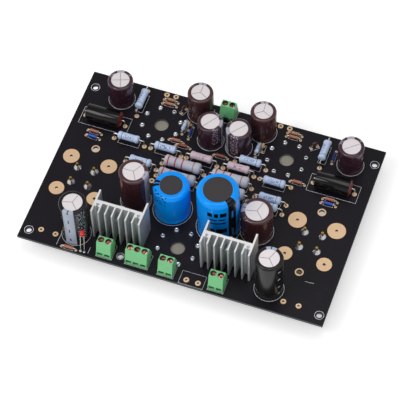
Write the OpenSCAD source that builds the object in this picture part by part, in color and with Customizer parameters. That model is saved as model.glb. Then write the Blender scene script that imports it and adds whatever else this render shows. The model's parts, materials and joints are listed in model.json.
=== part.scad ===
// Audio amplifier board: one long circuit board that carries five valve sockets
// underneath and its capacitors, resistors, heatsinks and screw terminals on top.
// Millimetres. The origin is on the ground under the middle of the board, X runs
// along the long side, Y from the terminal edge to the back edge, and Z is up.

/* [Board] */
// Length of the board along X
board_w = 212; // [209:1:240]
// Depth of the board along Y
board_d = 142; // [140:1:170]
// Thickness of the board
board_t = 2; // [1.6:0.1:3]
// Mean distance of the corner screw holes from the two ends
corner_inset_x = 5; // [4.5:0.1:8]
// Mean distance of the corner screw holes from the front and back edges
corner_inset_y = 9.7; // [9:0.1:12]
// Diameter of the board's screw holes
screw_hole_d = 3.9; // [3.2:0.1:4.2]
// Outer diameter of the large plated discs round the power valves
disc_d = 12; // [9:0.5:13]
// Distance between the large plated discs
disc_span = 27.2; // [26:0.2:29]
// Distance of each plated vent hole from its power valve's centre
vent_reach = 24.3; // [22:0.1:26]

/* [Valve sockets] */
// Height of the socket bodies under the board
socket_h = 15; // [14:0.5:20]
// Outer diameter of the octal sockets
octal_d = 31; // [29:0.5:32]
// Diameter of the raised middle that meets the board
octal_hub_d = 22; // [21:0.5:24]
// Height of the raised middle
octal_hub_h = 3; // [2.6:0.1:4]
// Diameter of the circle of octal valve pins
octal_pin_circle = 17.45; // [17:0.05:18]
// Diameter of the circle of octal solder pins
octal_tail_circle = 26.4; // [26:0.1:28]
// Bore for the octal valve's centre key
key_d = 8.2; // [7.8:0.1:8.6]
// Depth of the key bore
key_depth = 11; // [9:0.5:11.5]
// Outer diameter of the four-pin sockets
tube_d = 34; // [32:0.5:35]
// Side of the square of four-pin contacts
tube_pin_span = 12.1; // [11.8:0.1:12.4]
// Height of the four-pin solder pins above the board
tube_tail_h = 5.5; // [4:0.1:6]

/* [Capacitors] */
// Diameter of the purple capacitors
purple_d = 17.5; // [16:0.1:18]
// Height of the purple capacitors
purple_h = 22; // [18:0.5:30]
// Diameter of the two tall coupling capacitors at the back
brown_d = 17.7; // [16:0.1:18]
// Height of the two tall coupling capacitors at the back
brown_h = 25; // [18:0.5:30]
// Diameter of the tall brown capacitor
tall_brown_d = 20; // [18:0.1:22]
// Height of the tall brown capacitor
tall_brown_h = 35; // [28:0.5:40]
// Diameter of the wide brown capacitor
wide_brown_d = 21.4; // [20:0.1:21.6]
// Height of the wide brown capacitor
wide_brown_h = 25; // [22:0.5:40]
// Diameter of the lower blue capacitor
blue_d = 24.6; // [22:0.1:25]
// Height of the lower blue capacitor
blue_h = 29; // [25:0.5:40]
// Diameter of the tall blue capacitor
tall_blue_d = 28.2; // [25:0.1:28.4]
// Height of the tall blue capacitor
tall_blue_h = 44; // [35:0.5:50]
// Diameter of the black capacitors
black_d = 18.5; // [16:0.1:19]
// Height of the black capacitors
black_h = 38; // [30:0.5:45]
// Thickness of the printed sleeves
sleeve_t = 0.25; // [0.2:0.05:0.4]

/* [Heatsinks] */
// Height of the finned extrusions
sink_h = 31.75; // [28:0.25:36]
// Distance between neighbouring fins
fin_pitch = 4.7; // [4.4:0.05:4.9]
// Thickness of a fin
fin_t = 1; // [0.8:0.1:1.2]
// Reach of the fins in front of the back plate
fin_reach = 7.8; // [6:0.1:8]
// Reach of the two outer ears behind the back plate
ear_reach = 7.8; // [5:0.1:8.4]
// Thickness of the back plate
plate_t = 1.9; // [1.5:0.1:2.4]
// Height of the device screw above the board
device_screw_z = 24; // [23.6:0.1:24.6]

/* [Terminals] */
// Distance between neighbouring screws
pole_pitch = 5.08; // [5:0.01:5.5]
// Height of the terminal housings
term_h = 14; // [13.6:0.1:16]
// Reach of a housing in front of its screws
term_front = 4.8; // [4.5:0.1:5.2]
// Reach of a housing behind its screws
term_back = 5.6; // [5.4:0.1:5.8]
// Width of a rising wire clamp cage
cage_w = 3.9; // [3.6:0.1:4]
// Depth of a cage along the wire
cage_d = 5; // [4.6:0.1:5.2]
// Height of a cage
cage_h = 6.6; // [6.4:0.1:7]
// Travel of a cage from open to clamped
cage_travel = 2.5; // [2:0.1:2.8]
// Shank diameter of a clamping screw
shank_d = 2.5; // [2:0.1:2.6]
// Head diameter of a clamping screw
head_d = 3.7; // [3.3:0.1:3.8]

/* [Resistors and small parts] */
// Diameter of the blue power resistors
blue_res_d = 5.5; // [4.5:0.1:6]
// Length of the blue and pink power resistors
power_res_l = 15; // [13:0.5:17]
// Distance between the leads of the blue and pink power resistors
power_res_pitch = 22; // [20:0.5:22.4]
// Diameter of the grey power resistors
grey_res_d = 7.8; // [7:0.1:8.4]
// Length of the grey power resistors
grey_res_l = 25.5; // [22:0.5:26]
// Distance between the leads of the grey power resistors
grey_res_pitch = 30; // [29:0.5:31]
// Height of the power resistors' wires above the board
power_rise = 6; // [5.5:0.1:8]
// Diameter of the standing blue resistors
mid_res_d = 3; // [2.4:0.1:3.2]
// Length of the standing blue resistors
mid_res_l = 7.6; // [6:0.1:8]
// Distance between the leads of the standing blue resistors
mid_res_pitch = 11.4; // [10.8:0.1:11.8]
// Diameter of the small resistors
small_res_d = 2.3; // [1.8:0.1:2.4]
// Length of the small resistors
small_res_l = 6.3; // [5.5:0.1:6.8]
// Distance between the leads of the small resistors
small_res_pitch = 10.16; // [9.8:0.02:10.4]
// Diameter of the film capacitors that lie on their sides
film_d = 11.5; // [10:0.1:11.8]
// Length of the film capacitors
film_l = 25; // [22:0.5:26]
// Distance between the leads of the film capacitors
film_pitch = 29; // [28.4:0.2:30]
// Height of the lamp's flange above the board
lamp_rise = 22; // [12:0.5:26]
// Diameter of the lamp's lens
lamp_d = 3; // [2.8:0.1:3.2]

/* [Hidden] */
$fn = 48;

// Overrun of every cut, and the clearances between pieces
over = 0.5;
fit = 0.05;
seat_gap = 0.1;

// Heights of the board's two faces above the ground
board_bottom = socket_h;
board_top = board_bottom + board_t;

// Places on the board as shares of its length and depth
octal_place_shares = [[0.283, 0.806], [0.708, 0.806], [0.491, 0.178]];
tube_place_shares = [[0.115, 0.403], [0.875, 0.407]];
corner_centre_share = [0.503, 0.481];
front_screw_hole_share = [0.333, 0.051];
loose_pad_shares = [
  [0.063, 0.068], [0.112, 0.066], [0.861, 0.065], [0.910, 0.065],
  [0.259, 0.982], [0.290, 0.984], [0.649, 0.983], [0.680, 0.983],
  [0.555, 0.030], [0.593, 0.030], [0.328, 0.489]
];
sink_place_shares = [[0.308, 0.171], [0.661, 0.175]];
// Each terminal: place of its middle, number of poles, and turn
terminals = [
  [[0.285, 0.052], 2, 0], [[0.391, 0.056], 3, 0], [[0.488, 0.050], 2, 0],
  [[0.652, 0.049], 2, 0], [[0.478, 0.960], 2, 180]
];
lamp_share = [0.215, 0.018];

// Each capacitor: place, spokes of its vent score, and turn of the score
purple_rows = [
  [[0.125, 0.892], 4, 20], [[0.453, 0.800], 2, 55],
  [[0.548, 0.804], 2, 50], [[0.906, 0.877], 2, 40]
];
brown_rows = [[[0.390, 0.931], 3, 90], [[0.604, 0.923], 3, 95]];
tall_brown_rows = [[[0.306, 0.364], 3, 60]];
wide_brown_rows = [[[0.704, 0.385], 3, 75]];
blue_rows = [[[0.427, 0.373], 0, 0]];
tall_blue_rows = [[[0.585, 0.355], 0, 0]];
black_rows = [[[0.173, 0.104], 3, 75], [[0.805, 0.110], 3, 70]];

// Each resistor: place, turn, and lean towards the front
power_res_rows = [
  [[0.195, 0.894], 90, 0], [[0.208, 0.661], 0, 0], [[0.333, 0.662], 0, 0],
  [[0.275, 0.552], 0, 0], [[0.606, 0.718], 0, 0], [[0.702, 0.663], 0, 28],
  [[0.709, 0.560], 0, 16], [[0.707, 0.506], 0, 0], [[0.817, 0.889], 90, 0]
];
pink_res_rows = [[[0.454, 0.664], 0, 0], [[0.578, 0.665], 0, 0]];
mid_res_rows = [[[0.358, 0.826], 90, 0], [[0.610, 0.813], 90, 0]];
grey_res_rows = [
  [[0.407, 0.597], 0, 0], [[0.405, 0.523], 0, 0],
  [[0.567, 0.596], 0, 0], [[0.569, 0.525], 0, 0]
];
small_res_rows = [
  [[0.089, 0.661], -3, 0], [[0.090, 0.631], -3, 0], [[0.281, 0.927], 0, 0],
  [[0.281, 0.951], 0, 0], [[0.350, 0.737], 0, 0], [[0.378, 0.718], 0, 0],
  [[0.384, 0.804], 90, 0], [[0.505, 0.720], 0, 0], [[0.703, 0.934], 0, 0],
  [[0.703, 0.956], 0, 0], [[0.768, 0.695], 0, 0], [[0.849, 0.889], 90, 0],
  [[0.886, 0.651], 0, 0], [[0.885, 0.627], 0, 0], [[0.170, 0.014], 0, 0]
];
film_rows = [[[0.105, 0.742], 0, 0], [[0.883, 0.723], 0, 0]];
// Each bead capacitor: place and turn
bead_rows = [
  [[0.334, 0.915], 65], [[0.778, 0.915], 40],
  [[0.372, 0.834], 90], [[0.624, 0.828], 90]
];

// Wires, their bends and their holes
wire_d = 0.8;
fine_wire_d = 0.56;
wire_hole_d = 1.1;
fine_hole_d = 0.8;
bend_r = 1.2;
fine_bend_r = 0.7;
tail_below = 1.8;
wire_foot = 0.6;
led_wire_d = 0.5;

// Plated pads: thickness of the plating, and widths of the rings round holes
pad_t = 0.05;
wire_pad_d = 3.2;
fine_pad_d = 1.9;
loose_pad_d = 3.8;
loose_hole_d = 1.6;
disc_hole_d = 2;
vent_pad_d = 5.8;
vent_hole_d = 4;

// Solder cones: width at the pad, and height
solder_d = 2.4;
solder_h = 1.1;
fine_solder_d = 1.7;
fine_solder_h = 0.8;
octal_solder_d = 3.9;
octal_solder_h = 2.4;
tube_solder_d = 6;
tube_solder_h = 2.8;
lamp_solder_d = 2.2;
lamp_solder_bore_d = 0.75;
solder_neck = 0.25;

// Octal sockets: contacts, lugs and openings
octal_pins = 8;
octal_turn = 22.5;
octal_pin_hole_d = 2.6;
contact_wall = 0.3;
contact_bore_d = 2.4;
contact_lip = 1;
contact_crown = 1.5;
lug_w = 2.2;
lug_t = 0.6;
tail_d = 1.2;
tail_hole_d = 1.6;
octal_tail_h = 1.9;
centre_hole_d = 9.8;
keyway_w = 1.9;
keyway_reach = 1.3;
rim_chamfer = 0.8;
tube_hub_h = 0;
tube_tail_d = 1.8;
tube_tail_hole_d = 2.4;
tube_bores = [4, 4, 3.2, 3.2];
tube_pin_holes = [4.3, 4.3, 3.5, 3.5];

// Capacitor cans: seal, bead, shoulder and vent score
can_gap = 0.03;
can_foot = 0.3;
can_bead_z = 3;
can_bead_w = 1.6;
can_bead_depth = 0.45;
shoulder_share = 0.075;
blue_shoulder_share = 0.12;
shoulder_steps = 5;
score_w = 0.35;
score_depth = 0.25;
top_disc_share = 0.36;
blue_disc_share = 0.315;
tall_blue_disc_share = 0.35;
score_share = 0.34;
radial_pitch = 7.5;
snap_pitch = 10;
can_disc_t = 0.2;

// Heatsinks: blades, pin channels, feet and device screws
blades = 8;
ear_t = 1.3;
sink_foot = 0.4;
pin_block_depth = 3;
pin_d = 2;
pin_slot_w = 0.8;
pin_recess = 0.5;
pin_collar_d = 3;
pin_hole_d = 2.3;
m3_d = 2.9;
m3_hole_d = 3;
m3_head_d = 5.5;
m3_head_h = 2.2;
m3_slot_w = 0.8;
m3_slot_depth = 1;
m3_reach = 4.5;

// Regulators: tab, body and leads
tab_w = 10.2;
tab_t = 1.3;
tab_above_hole = 2.8;
tab_hole_d = 3.7;
tab_notch = 1.2;
case_t = 4.5;
case_h = 9.2;
case_below_hole = 13;
lead_pitch = 2.54;
lead_w = 0.8;
lead_t = 0.5;
lead_set_back = 2.6;
lead_shoulder_w = 1.3;
lead_shoulder_h = 3.5;
lead_hole_d = 1.2;
lead_solder_d = 2.1;
lead_solder_bore_d = 0.9;

// Terminals: openings, walls and the contact bar
term_top_front = 2.5;
term_top_back = 2.7;
term_ledge_z = 4.8;
term_ledge = 0.35;
term_back_z = 6.5;
term_foot_back = 3.85;
term_foot_z = 3;
term_foot_slope = 0.8;
term_side_gap = 0.15;
flange_t = 1.3;
flange_lip = 0.15;
window_low = 0.9;
window_inner_low = 1.9;
window_high = 4.6;
window_w = 3.9;
rib_d = 3.2;
rib_set_back = 0.4;
cage_gap = 0.1;
cage_rest_z = 0.5;
cage_roof = 1.2;
cage_floor = 0.8;
cage_side = 0.7;
cage_hole_gap = 0.05;
cage_headroom = 0.2;
bar_w = 2.2;
bar_t = 0.7;
bar_gap = 0.1;
bar_front = 2;
bar_pin_y = 3.25;
bar_pin_d = 0.9;
bar_hole_d = 1.3;
shoulder_t = 0.6;
shoulder_hole_gap = 0.1;
shank_clear = 0.2;
head_h = 1.5;
head_gap = 0.05;
well_gap = 0.175;
slot_w = 0.6;
slot_depth = 0.9;
// Turn of each screw's slot
slot_turns = [25, 70, 110, 160, 75, 20, 135, 10, 150, 95, 40];

// Resistors and small parts: end caps, seals and lamp
cap_share = 0.16;
waist_share = 0.9;
cap_round_share = 0.35;
film_seal_l = 1.3;
film_round = 0.5;
film_groove = 0.15;
film_rise = 6;
small_rise_gap = 0.15;
bead_d = 3.8;
bead_t = 1.8;
bead_pitch = 4.4;
bead_rise = 2.4;
lamp_pitch = 2.6;
lamp_lens_l = 3.4;
lamp_flange_d = 3.8;
lamp_flange_t = 1;
lamp_flat = 0.25;
lamp_lean = 4;
lamp_hole_d = 1;

// Heights inside a terminal, measured from the board's top face
cage_top_z = cage_rest_z + cage_h;
bar_top_z = cage_top_z - cage_roof - bar_gap;
cavity_top_z = cage_top_z + cage_travel + cage_headroom;
head_seat_z = cavity_top_z + shoulder_t;

// A share of the board turned into a place
function at(share) = [(share[0] - 0.5) * board_w, (share[1] - 0.5) * board_d];
// Two lead places on either side of each row's middle
function lead_pairs(rows, pitch) = [
  for (row = rows, side = [-1, 1])
    at(row[0]) + side * pitch / 2 * [cos(row[1]), sin(row[1])]
];
// The same for cans, whose leads lie along X
function can_leads(rows, pitch) = [
  for (row = rows, side = [-1, 1]) at(row[0]) + [side * pitch / 2, 0]
];
function square_points(span) = [for (x = [-1, 1], y = [-1, 1]) [x, y] * span / 2];
function ring_points(circle_d, count, turn) = [
  for (i = [0:count - 1]) circle_d / 2 * [cos(turn + i * 360 / count), sin(turn + i * 360 / count)]
];
function around(shares, points) = [for (share = shares, p = points) at(share) + p];
// A quarter circle from the outer wall to the top
function corner_points(x, z, r) = [
  for (i = [0:shoulder_steps])
    [x + r * cos(90 * i / shoulder_steps), z + r * sin(90 * i / shoulder_steps)]
];
function pole_x(poles, i) = (i - (poles - 1) / 2) * pole_pitch;
function turned(p, turn) = [
  p[0] * cos(turn) - p[1] * sin(turn), p[0] * sin(turn) + p[1] * cos(turn)
];

// Groups of holes that share a size
wire_points = concat(
  lead_pairs(power_res_rows, power_res_pitch), lead_pairs(pink_res_rows, power_res_pitch),
  lead_pairs(grey_res_rows, grey_res_pitch), lead_pairs(film_rows, film_pitch),
  can_leads(purple_rows, radial_pitch), can_leads(brown_rows, radial_pitch),
  can_leads(tall_brown_rows, snap_pitch), can_leads(wide_brown_rows, snap_pitch),
  can_leads(blue_rows, snap_pitch), can_leads(tall_blue_rows, snap_pitch),
  can_leads(black_rows, radial_pitch)
);
fine_points = concat(
  lead_pairs(small_res_rows, small_res_pitch), lead_pairs(mid_res_rows, mid_res_pitch),
  lead_pairs(bead_rows, bead_pitch)
);
lamp_points = can_leads([[lamp_share]], lamp_pitch);
octal_points = around(octal_place_shares, ring_points(octal_tail_circle, octal_pins, octal_turn));
tube_points = around(tube_place_shares, square_points(tube_pin_span));
disc_points = around(tube_place_shares, square_points(disc_span));
vent_points = around(tube_place_shares, [[0, -vent_reach], [0, vent_reach]]);
loose_points = [for (share = loose_pad_shares) at(share)];
corner_points_xy = [
  for (x = [-1, 1], y = [-1, 1])
    at(corner_centre_share) + [x * (board_w / 2 - corner_inset_x), y * (board_d / 2 - corner_inset_y)]
];
bar_points = [
  for (t = terminals, i = [0:t[1] - 1]) at(t[0]) + turned([pole_x(t[1], i), bar_pin_y], t[2])
];
sink_pin_x = (blades - 2) * fin_pitch / 2;
sink_pin_y = -(plate_t + pin_block_depth) / 2;
sink_pin_points = around(sink_place_shares, [[-sink_pin_x, sink_pin_y], [sink_pin_x, sink_pin_y]]);
lead_y = plate_t / 2 + fit + lead_set_back;
lead_points = around(sink_place_shares, [for (i = [-1:1]) [i * lead_pitch, lead_y]]);

module on_board(share, turn = 0) {
  translate(concat(at(share), [board_top])) rotate([0, 0, turn]) children();
}

module holes(points, d) {
  for (p = points) translate(p) circle(d = d);
}

// The board, drilled for every lead, pin and screw
module circuit_board() {
  color("#26272a") translate([0, 0, board_bottom]) linear_extrude(board_t) difference() {
    square([board_w, board_d], center = true);
    holes(wire_points, wire_hole_d);
    holes(fine_points, fine_hole_d);
    holes(lamp_points, lamp_hole_d);
    holes(octal_points, tail_hole_d);
    holes(around(octal_place_shares, [[0, 0]]), centre_hole_d);
    holes(tube_points, tube_tail_hole_d);
    holes(disc_points, disc_hole_d);
    holes(vent_points, vent_hole_d);
    holes(loose_points, loose_hole_d);
    holes(corner_points_xy, screw_hole_d);
    holes([at(front_screw_hole_share)], screw_hole_d);
    holes(bar_points, bar_hole_d);
    holes(sink_pin_points, pin_hole_d);
    holes(lead_points, lead_hole_d);
  }
}

// A plated ring that lies on the board's top face
module rings(points, outer_d, inner_d) {
  for (p = points) translate(concat(p, [board_top])) difference() {
    cylinder(d = outer_d, h = pad_t);
    translate([0, 0, -over]) cylinder(d = inner_d, h = pad_t + 2 * over);
  }
}

module plated_pads() {
  color("#dcb97d") {
    rings(wire_points, wire_pad_d, wire_hole_d);
    rings(fine_points, fine_pad_d, fine_hole_d);
    rings(disc_points, disc_d, disc_hole_d);
    rings(vent_points, vent_pad_d, vent_hole_d);
    rings(loose_points, loose_pad_d, loose_hole_d);
  }
}

// A cone of solder that rises from its pad to a lead
module solder(points, base_d, h, lead_d) {
  for (p = points) translate(p) rotate_extrude() polygon([
    [lead_d / 2 + fit, 0], [base_d / 2, 0], [base_d / 2, solder_neck],
    [(base_d + lead_d) / 4 + fit, h / 2], [lead_d / 2 + fit + solder_neck, h], [lead_d / 2 + fit, h]
  ]);
}

module solder_joints() {
  color("#c9cdd2") {
    translate([0, 0, board_top]) {
      solder(octal_points, octal_solder_d, octal_solder_h, tail_d);
      solder(tube_points, tube_solder_d, tube_solder_h, tube_tail_d);
      solder(lamp_points, lamp_solder_d, solder_h, lamp_solder_bore_d);
    }
    translate([0, 0, board_bottom]) mirror([0, 0, 1]) {
      solder(wire_points, solder_d, solder_h, wire_d);
      solder(fine_points, fine_solder_d, fine_solder_h, fine_wire_d);
      solder(bar_points, solder_d, solder_h, bar_pin_d);
      solder(sink_pin_points, octal_solder_d, solder_h, pin_d);
      solder(lead_points, lead_solder_d, fine_solder_h, lead_solder_bore_d);
    }
  }
}

// The moulded body of a socket: hub against the board, flange below it
module socket_body(body_d, hub_d, hub_h) {
  flange_h = socket_h - hub_h;
  rotate_extrude() polygon([
    [0, 0], [body_d / 2 - rim_chamfer, 0], [body_d / 2, rim_chamfer],
    [body_d / 2, flange_h - rim_chamfer], [body_d / 2 - rim_chamfer, flange_h],
    [hub_d / 2, flange_h], [hub_d / 2, socket_h], [0, socket_h]
  ]);
}

// Ceramic octal socket: keyed centre bore, eight contact pockets and lug slots
module octal_socket(share) {
  flange_h = socket_h - octal_hub_h;
  pocket_d = contact_bore_d + 2 * (contact_wall + fit);
  color("#a9a58e") translate(at(share)) difference() {
    socket_body(octal_d, octal_hub_d, octal_hub_h);
    translate([0, 0, -over]) cylinder(d = key_d, h = key_depth + over);
    translate([0, -keyway_w / 2, -over])
      cube([key_d / 2 + keyway_reach, keyway_w, key_depth + over]);
    for (p = ring_points(octal_pin_circle, octal_pins, octal_turn)) translate(p) {
      translate([0, 0, -over]) cylinder(d = octal_pin_hole_d, h = contact_lip + 2 * over);
      translate([0, 0, contact_lip]) cylinder(d = pocket_d, h = flange_h + lug_t + fit - contact_lip);
    }
    for (i = [0:octal_pins - 1]) rotate(octal_turn + i * 360 / octal_pins)
      translate([octal_pin_circle / 2, -lug_w / 2 - fit, flange_h])
        cube([octal_d / 2, lug_w + 2 * fit, lug_t + 2 * fit]);
  }
}

// Ceramic four-pin socket: two wide and two narrow pin holes
module tube_socket(share) {
  color("#c8c4b2") translate(at(share)) difference() {
    socket_body(tube_d, tube_d - 2 * rim_chamfer, tube_hub_h);
    for (i = [0:len(tube_bores) - 1]) translate(square_points(tube_pin_span)[i]) {
      translate([0, 0, -over]) cylinder(d = tube_pin_holes[i], h = contact_lip + 2 * over);
      translate([0, 0, contact_lip])
        cylinder(d = tube_bores[i] + 2 * (contact_wall + fit), h = socket_h);
    }
  }
}

// A sprung contact: open tube for the valve's pin, lug, and tail through the board
module octal_contact() {
  flange_h = socket_h - octal_hub_h;
  lug_z = flange_h + fit;
  tube_outer_d = contact_bore_d + 2 * contact_wall;
  reach = (octal_tail_circle - octal_pin_circle) / 2;
  difference() {
    union() {
      translate([0, 0, contact_lip + seat_gap])
        cylinder(d = tube_outer_d, h = lug_z + lug_t - contact_lip - seat_gap);
      translate([0, -lug_w / 2, lug_z]) cube([reach, lug_w, lug_t]);
      translate([reach, 0, lug_z]) cylinder(d = lug_w, h = lug_t);
      translate([reach, 0, lug_z]) cylinder(d = tail_d, h = board_top + octal_tail_h - lug_z);
    }
    translate([0, 0, contact_lip - over])
      cylinder(d = contact_bore_d, h = flange_h - contact_crown - contact_lip + over);
  }
}

module tube_contact(bore_d) {
  difference() {
    union() {
      translate([0, 0, contact_lip + seat_gap])
        cylinder(d = bore_d + 2 * contact_wall, h = socket_h - contact_lip - 2 * seat_gap);
      cylinder_z = socket_h - contact_crown;
      translate([0, 0, cylinder_z])
        cylinder(d = tube_tail_d, h = board_top + tube_tail_h - cylinder_z);
    }
    translate([0, 0, contact_lip - over])
      cylinder(d = bore_d, h = socket_h - contact_crown - contact_lip);
  }
}

module socket_contacts() {
  color("#c9a24a") {
    for (share = octal_place_shares, i = [0:octal_pins - 1]) translate(at(share))
      rotate(octal_turn + i * 360 / octal_pins) translate([octal_pin_circle / 2, 0]) octal_contact();
    for (share = tube_place_shares, i = [0:len(tube_bores) - 1]) translate(at(share))
      translate(square_points(tube_pin_span)[i]) tube_contact(tube_bores[i]);
  }
}

// Outer wall of a can from its bead to its rounded shoulder, grown by a sleeve
function can_wall(r, top, shoulder, grow) = concat(
  [
    [r + grow, can_bead_z - can_bead_w / 2],
    [r + grow - can_bead_depth, can_bead_z],
    [r + grow, can_bead_z + can_bead_w / 2]
  ],
  corner_points(r - shoulder, top - shoulder, shoulder + grow)
);

// A drawn can with its rubber seal, vent score and leads
module can(d, h, pitch, spokes = 0, turn = 0, round_share = shoulder_share) {
  r = d / 2 - sleeve_t - can_gap;
  top = h - sleeve_t - can_gap;
  difference() {
    rotate_extrude() polygon(concat(
      [[0, can_foot], [r, can_foot]], can_wall(r, top, d * round_share, 0), [[0, top]]
    ));
    for (i = [0:1:spokes - 1]) rotate(turn + i * 360 / spokes)
      translate([0, -score_w / 2, top - score_depth])
        cube([d * score_share, score_w, score_depth + over]);
  }
  for (side = [-1, 1]) translate([side * pitch / 2, 0, -board_t - tail_below])
    cylinder(d = wire_d, h = board_t + tail_below + can_foot + over);
}

module cans(rows, d, h, pitch, round_share = shoulder_share) {
  for (row = rows) on_board(row[0]) can(d, h, pitch, row[1], row[2], round_share);
}

// A shrunk sleeve that follows its can and laps over the top
module sleeve(d, h, round_share, disc_share) {
  r = d / 2 - sleeve_t - can_gap;
  top = h - sleeve_t - can_gap;
  shoulder = d * round_share;
  outer = can_wall(r, top, shoulder, can_gap + sleeve_t);
  inner = can_wall(r, top, shoulder, can_gap);
  rotate_extrude() polygon(concat(
    [[r + can_gap, 0], [r + can_gap + sleeve_t, 0]], outer,
    [[d * disc_share, h], [d * disc_share, top + can_gap]],
    [for (i = [len(inner) - 1:-1:0]) inner[i]]
  ));
}

module sleeves(rows, d, h, round_share = shoulder_share, disc_share = top_disc_share) {
  for (row = rows) on_board(row[0]) sleeve(d, h, round_share, disc_share);
}

module purple_cans() color("#e4dfe2") cans(purple_rows, purple_d, purple_h, radial_pitch);

module brown_cans() color("#e4dfe2") {
  cans(brown_rows, brown_d, brown_h, radial_pitch);
  cans(tall_brown_rows, tall_brown_d, tall_brown_h, snap_pitch);
  cans(wide_brown_rows, wide_brown_d, wide_brown_h, snap_pitch);
}

module blue_cans() color("#b9bcc0") {
  cans(blue_rows, blue_d, blue_h, snap_pitch, blue_shoulder_share);
  cans(tall_blue_rows, tall_blue_d, tall_blue_h, snap_pitch, blue_shoulder_share);
}

module black_cans() color("#e4dfe2") cans(black_rows, black_d, black_h, radial_pitch);

// The dark insulating discs on top of the blue cans
module blue_can_discs() color("#3a3537") {
  for (row = blue_rows) on_board(row[0]) translate([0, 0, blue_h - sleeve_t - can_gap])
    cylinder(r = blue_d * blue_disc_share - seat_gap, h = can_disc_t);
  for (row = tall_blue_rows) on_board(row[0]) translate([0, 0, tall_blue_h - sleeve_t - can_gap])
    cylinder(r = tall_blue_d * tall_blue_disc_share - seat_gap, h = can_disc_t);
}

module brown_sleeves() color("#3e2428") {
  sleeves(purple_rows, purple_d, purple_h);
  sleeves(brown_rows, brown_d, brown_h);
  sleeves(tall_brown_rows, tall_brown_d, tall_brown_h);
  sleeves(wide_brown_rows, wide_brown_d, wide_brown_h);
}

module blue_sleeves() color("#0f7fd6") {
  sleeves(blue_rows, blue_d, blue_h, blue_shoulder_share, blue_disc_share);
  sleeves(tall_blue_rows, tall_blue_d, tall_blue_h, blue_shoulder_share, tall_blue_disc_share);
}

module black_sleeves() color("#1b1b1d") sleeves(black_rows, black_d, black_h);

// Section of the extruded heatsink: plate, fins, ears and split pin channels
module sink_section() {
  half_w = (blades - 1) * fin_pitch / 2;
  difference() {
    union() {
      translate([-half_w, -plate_t / 2]) square([2 * half_w, plate_t]);
      for (i = [1:blades - 2]) translate([-half_w + i * fin_pitch - fin_t / 2, -plate_t / 2 - fin_reach])
        square([fin_t, fin_reach + plate_t / 2]);
      for (side = [-1, 1]) {
        translate([side * half_w - ear_t / 2, -plate_t / 2 - fin_reach])
          square([ear_t, fin_reach + plate_t + ear_reach]);
        translate([side * (half_w - fin_pitch / 2) - fin_pitch / 2, -plate_t / 2 - pin_block_depth])
          square([fin_pitch, pin_block_depth + plate_t / 2]);
      }
    }
    for (side = [-1, 1]) translate([side * sink_pin_x, sink_pin_y]) {
      circle(d = pin_d + 2 * fit);
      translate([-pin_slot_w / 2, sink_pin_y - pin_block_depth])
        square([pin_slot_w, -sink_pin_y + pin_block_depth]);
    }
  }
}

module heatsink(share) {
  color("#aeb3ae") on_board(share) difference() {
    translate([0, 0, sink_foot]) linear_extrude(sink_h) sink_section();
    translate([0, 0, device_screw_z]) rotate([90, 0, 0])
      cylinder(d = m3_hole_d, h = plate_t + 2 * over, center = true);
  }
}

// Plain pins pressed through the channels, with a collar that lifts the heatsink
module heatsink_pins() color("#c9cdd2") {
  below = board_t + tail_below;
  for (p = sink_pin_points) translate(concat(p, [board_top])) {
    translate([0, 0, -below]) cylinder(d = pin_d, h = below + sink_foot + sink_h - pin_recess);
    cylinder(d = pin_collar_d, h = sink_foot);
  }
}

// A three-lead power device whose tab lies flat on the plate's back
module regulator(share) {
  back = plate_t / 2 + fit;
  case_z = device_screw_z - case_below_hole;
  color("#202124") on_board(share) translate([0, back, 0]) {
    difference() {
      translate([-tab_w / 2, 0, case_z]) cube([tab_w, tab_t, case_below_hole + tab_above_hole]);
      translate([0, 0, device_screw_z]) rotate([90, 0, 0])
        cylinder(d = tab_hole_d, h = 4 * tab_t, center = true);
      for (side = [-1, 1]) translate([side * tab_w / 2, -over, case_z + case_h + tab_notch])
        rotate([-90, 0, 0]) cylinder(d = tab_notch, h = tab_t + 2 * over);
    }
    translate([-tab_w / 2, tab_t, case_z]) cube([tab_w, case_t - tab_t, case_h]);
    for (i = [-1:1]) translate([i * lead_pitch, lead_set_back, 0]) {
      translate([-lead_w / 2, -lead_t / 2, -board_t - tail_below / 2])
        cube([lead_w, lead_t, board_t + tail_below / 2 + case_z + over]);
      translate([-lead_shoulder_w / 2, -lead_t / 2, case_z - lead_shoulder_h])
        cube([lead_shoulder_w, lead_t, lead_shoulder_h + over]);
    }
  }
}

// Slotted screws that hold the devices and end between two fins
module heatsink_screws() color("#c9cdd2") {
  for (share = sink_place_shares) on_board(share)
    translate([0, plate_t / 2 + fit + tab_t, device_screw_z]) rotate([90, 0, 0]) difference() {
      union() {
        cylinder(d = m3_d, h = tab_t + fit + plate_t + m3_reach);
        translate([0, 0, -m3_head_h - seat_gap]) cylinder(d = m3_head_d, h = m3_head_h);
        translate([0, 0, -seat_gap - over]) cylinder(d = m3_d, h = seat_gap + 2 * over);
      }
      translate([-m3_head_d, -m3_slot_w / 2, -m3_head_h - seat_gap - over])
        cube([2 * m3_head_d, m3_slot_w, m3_slot_depth + over]);
    }
}

// A solid of the given side outline, drawn in Y and Z, centred along X
module across(w) {
  rotate([90, 0, 90]) linear_extrude(w, center = true) children();
}

// Side outline of a terminal housing, screws at Y = 0
module terminal_outline() {
  polygon([
    [-term_front, 0], [-term_front, term_ledge_z], [-term_front + term_ledge, term_ledge_z],
    [-term_top_front, term_h], [term_top_back, term_h], [term_back, term_back_z],
    [term_back, term_foot_z + term_foot_slope], [term_foot_back, term_foot_z], [term_foot_back, 0]
  ]);
}

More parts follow.
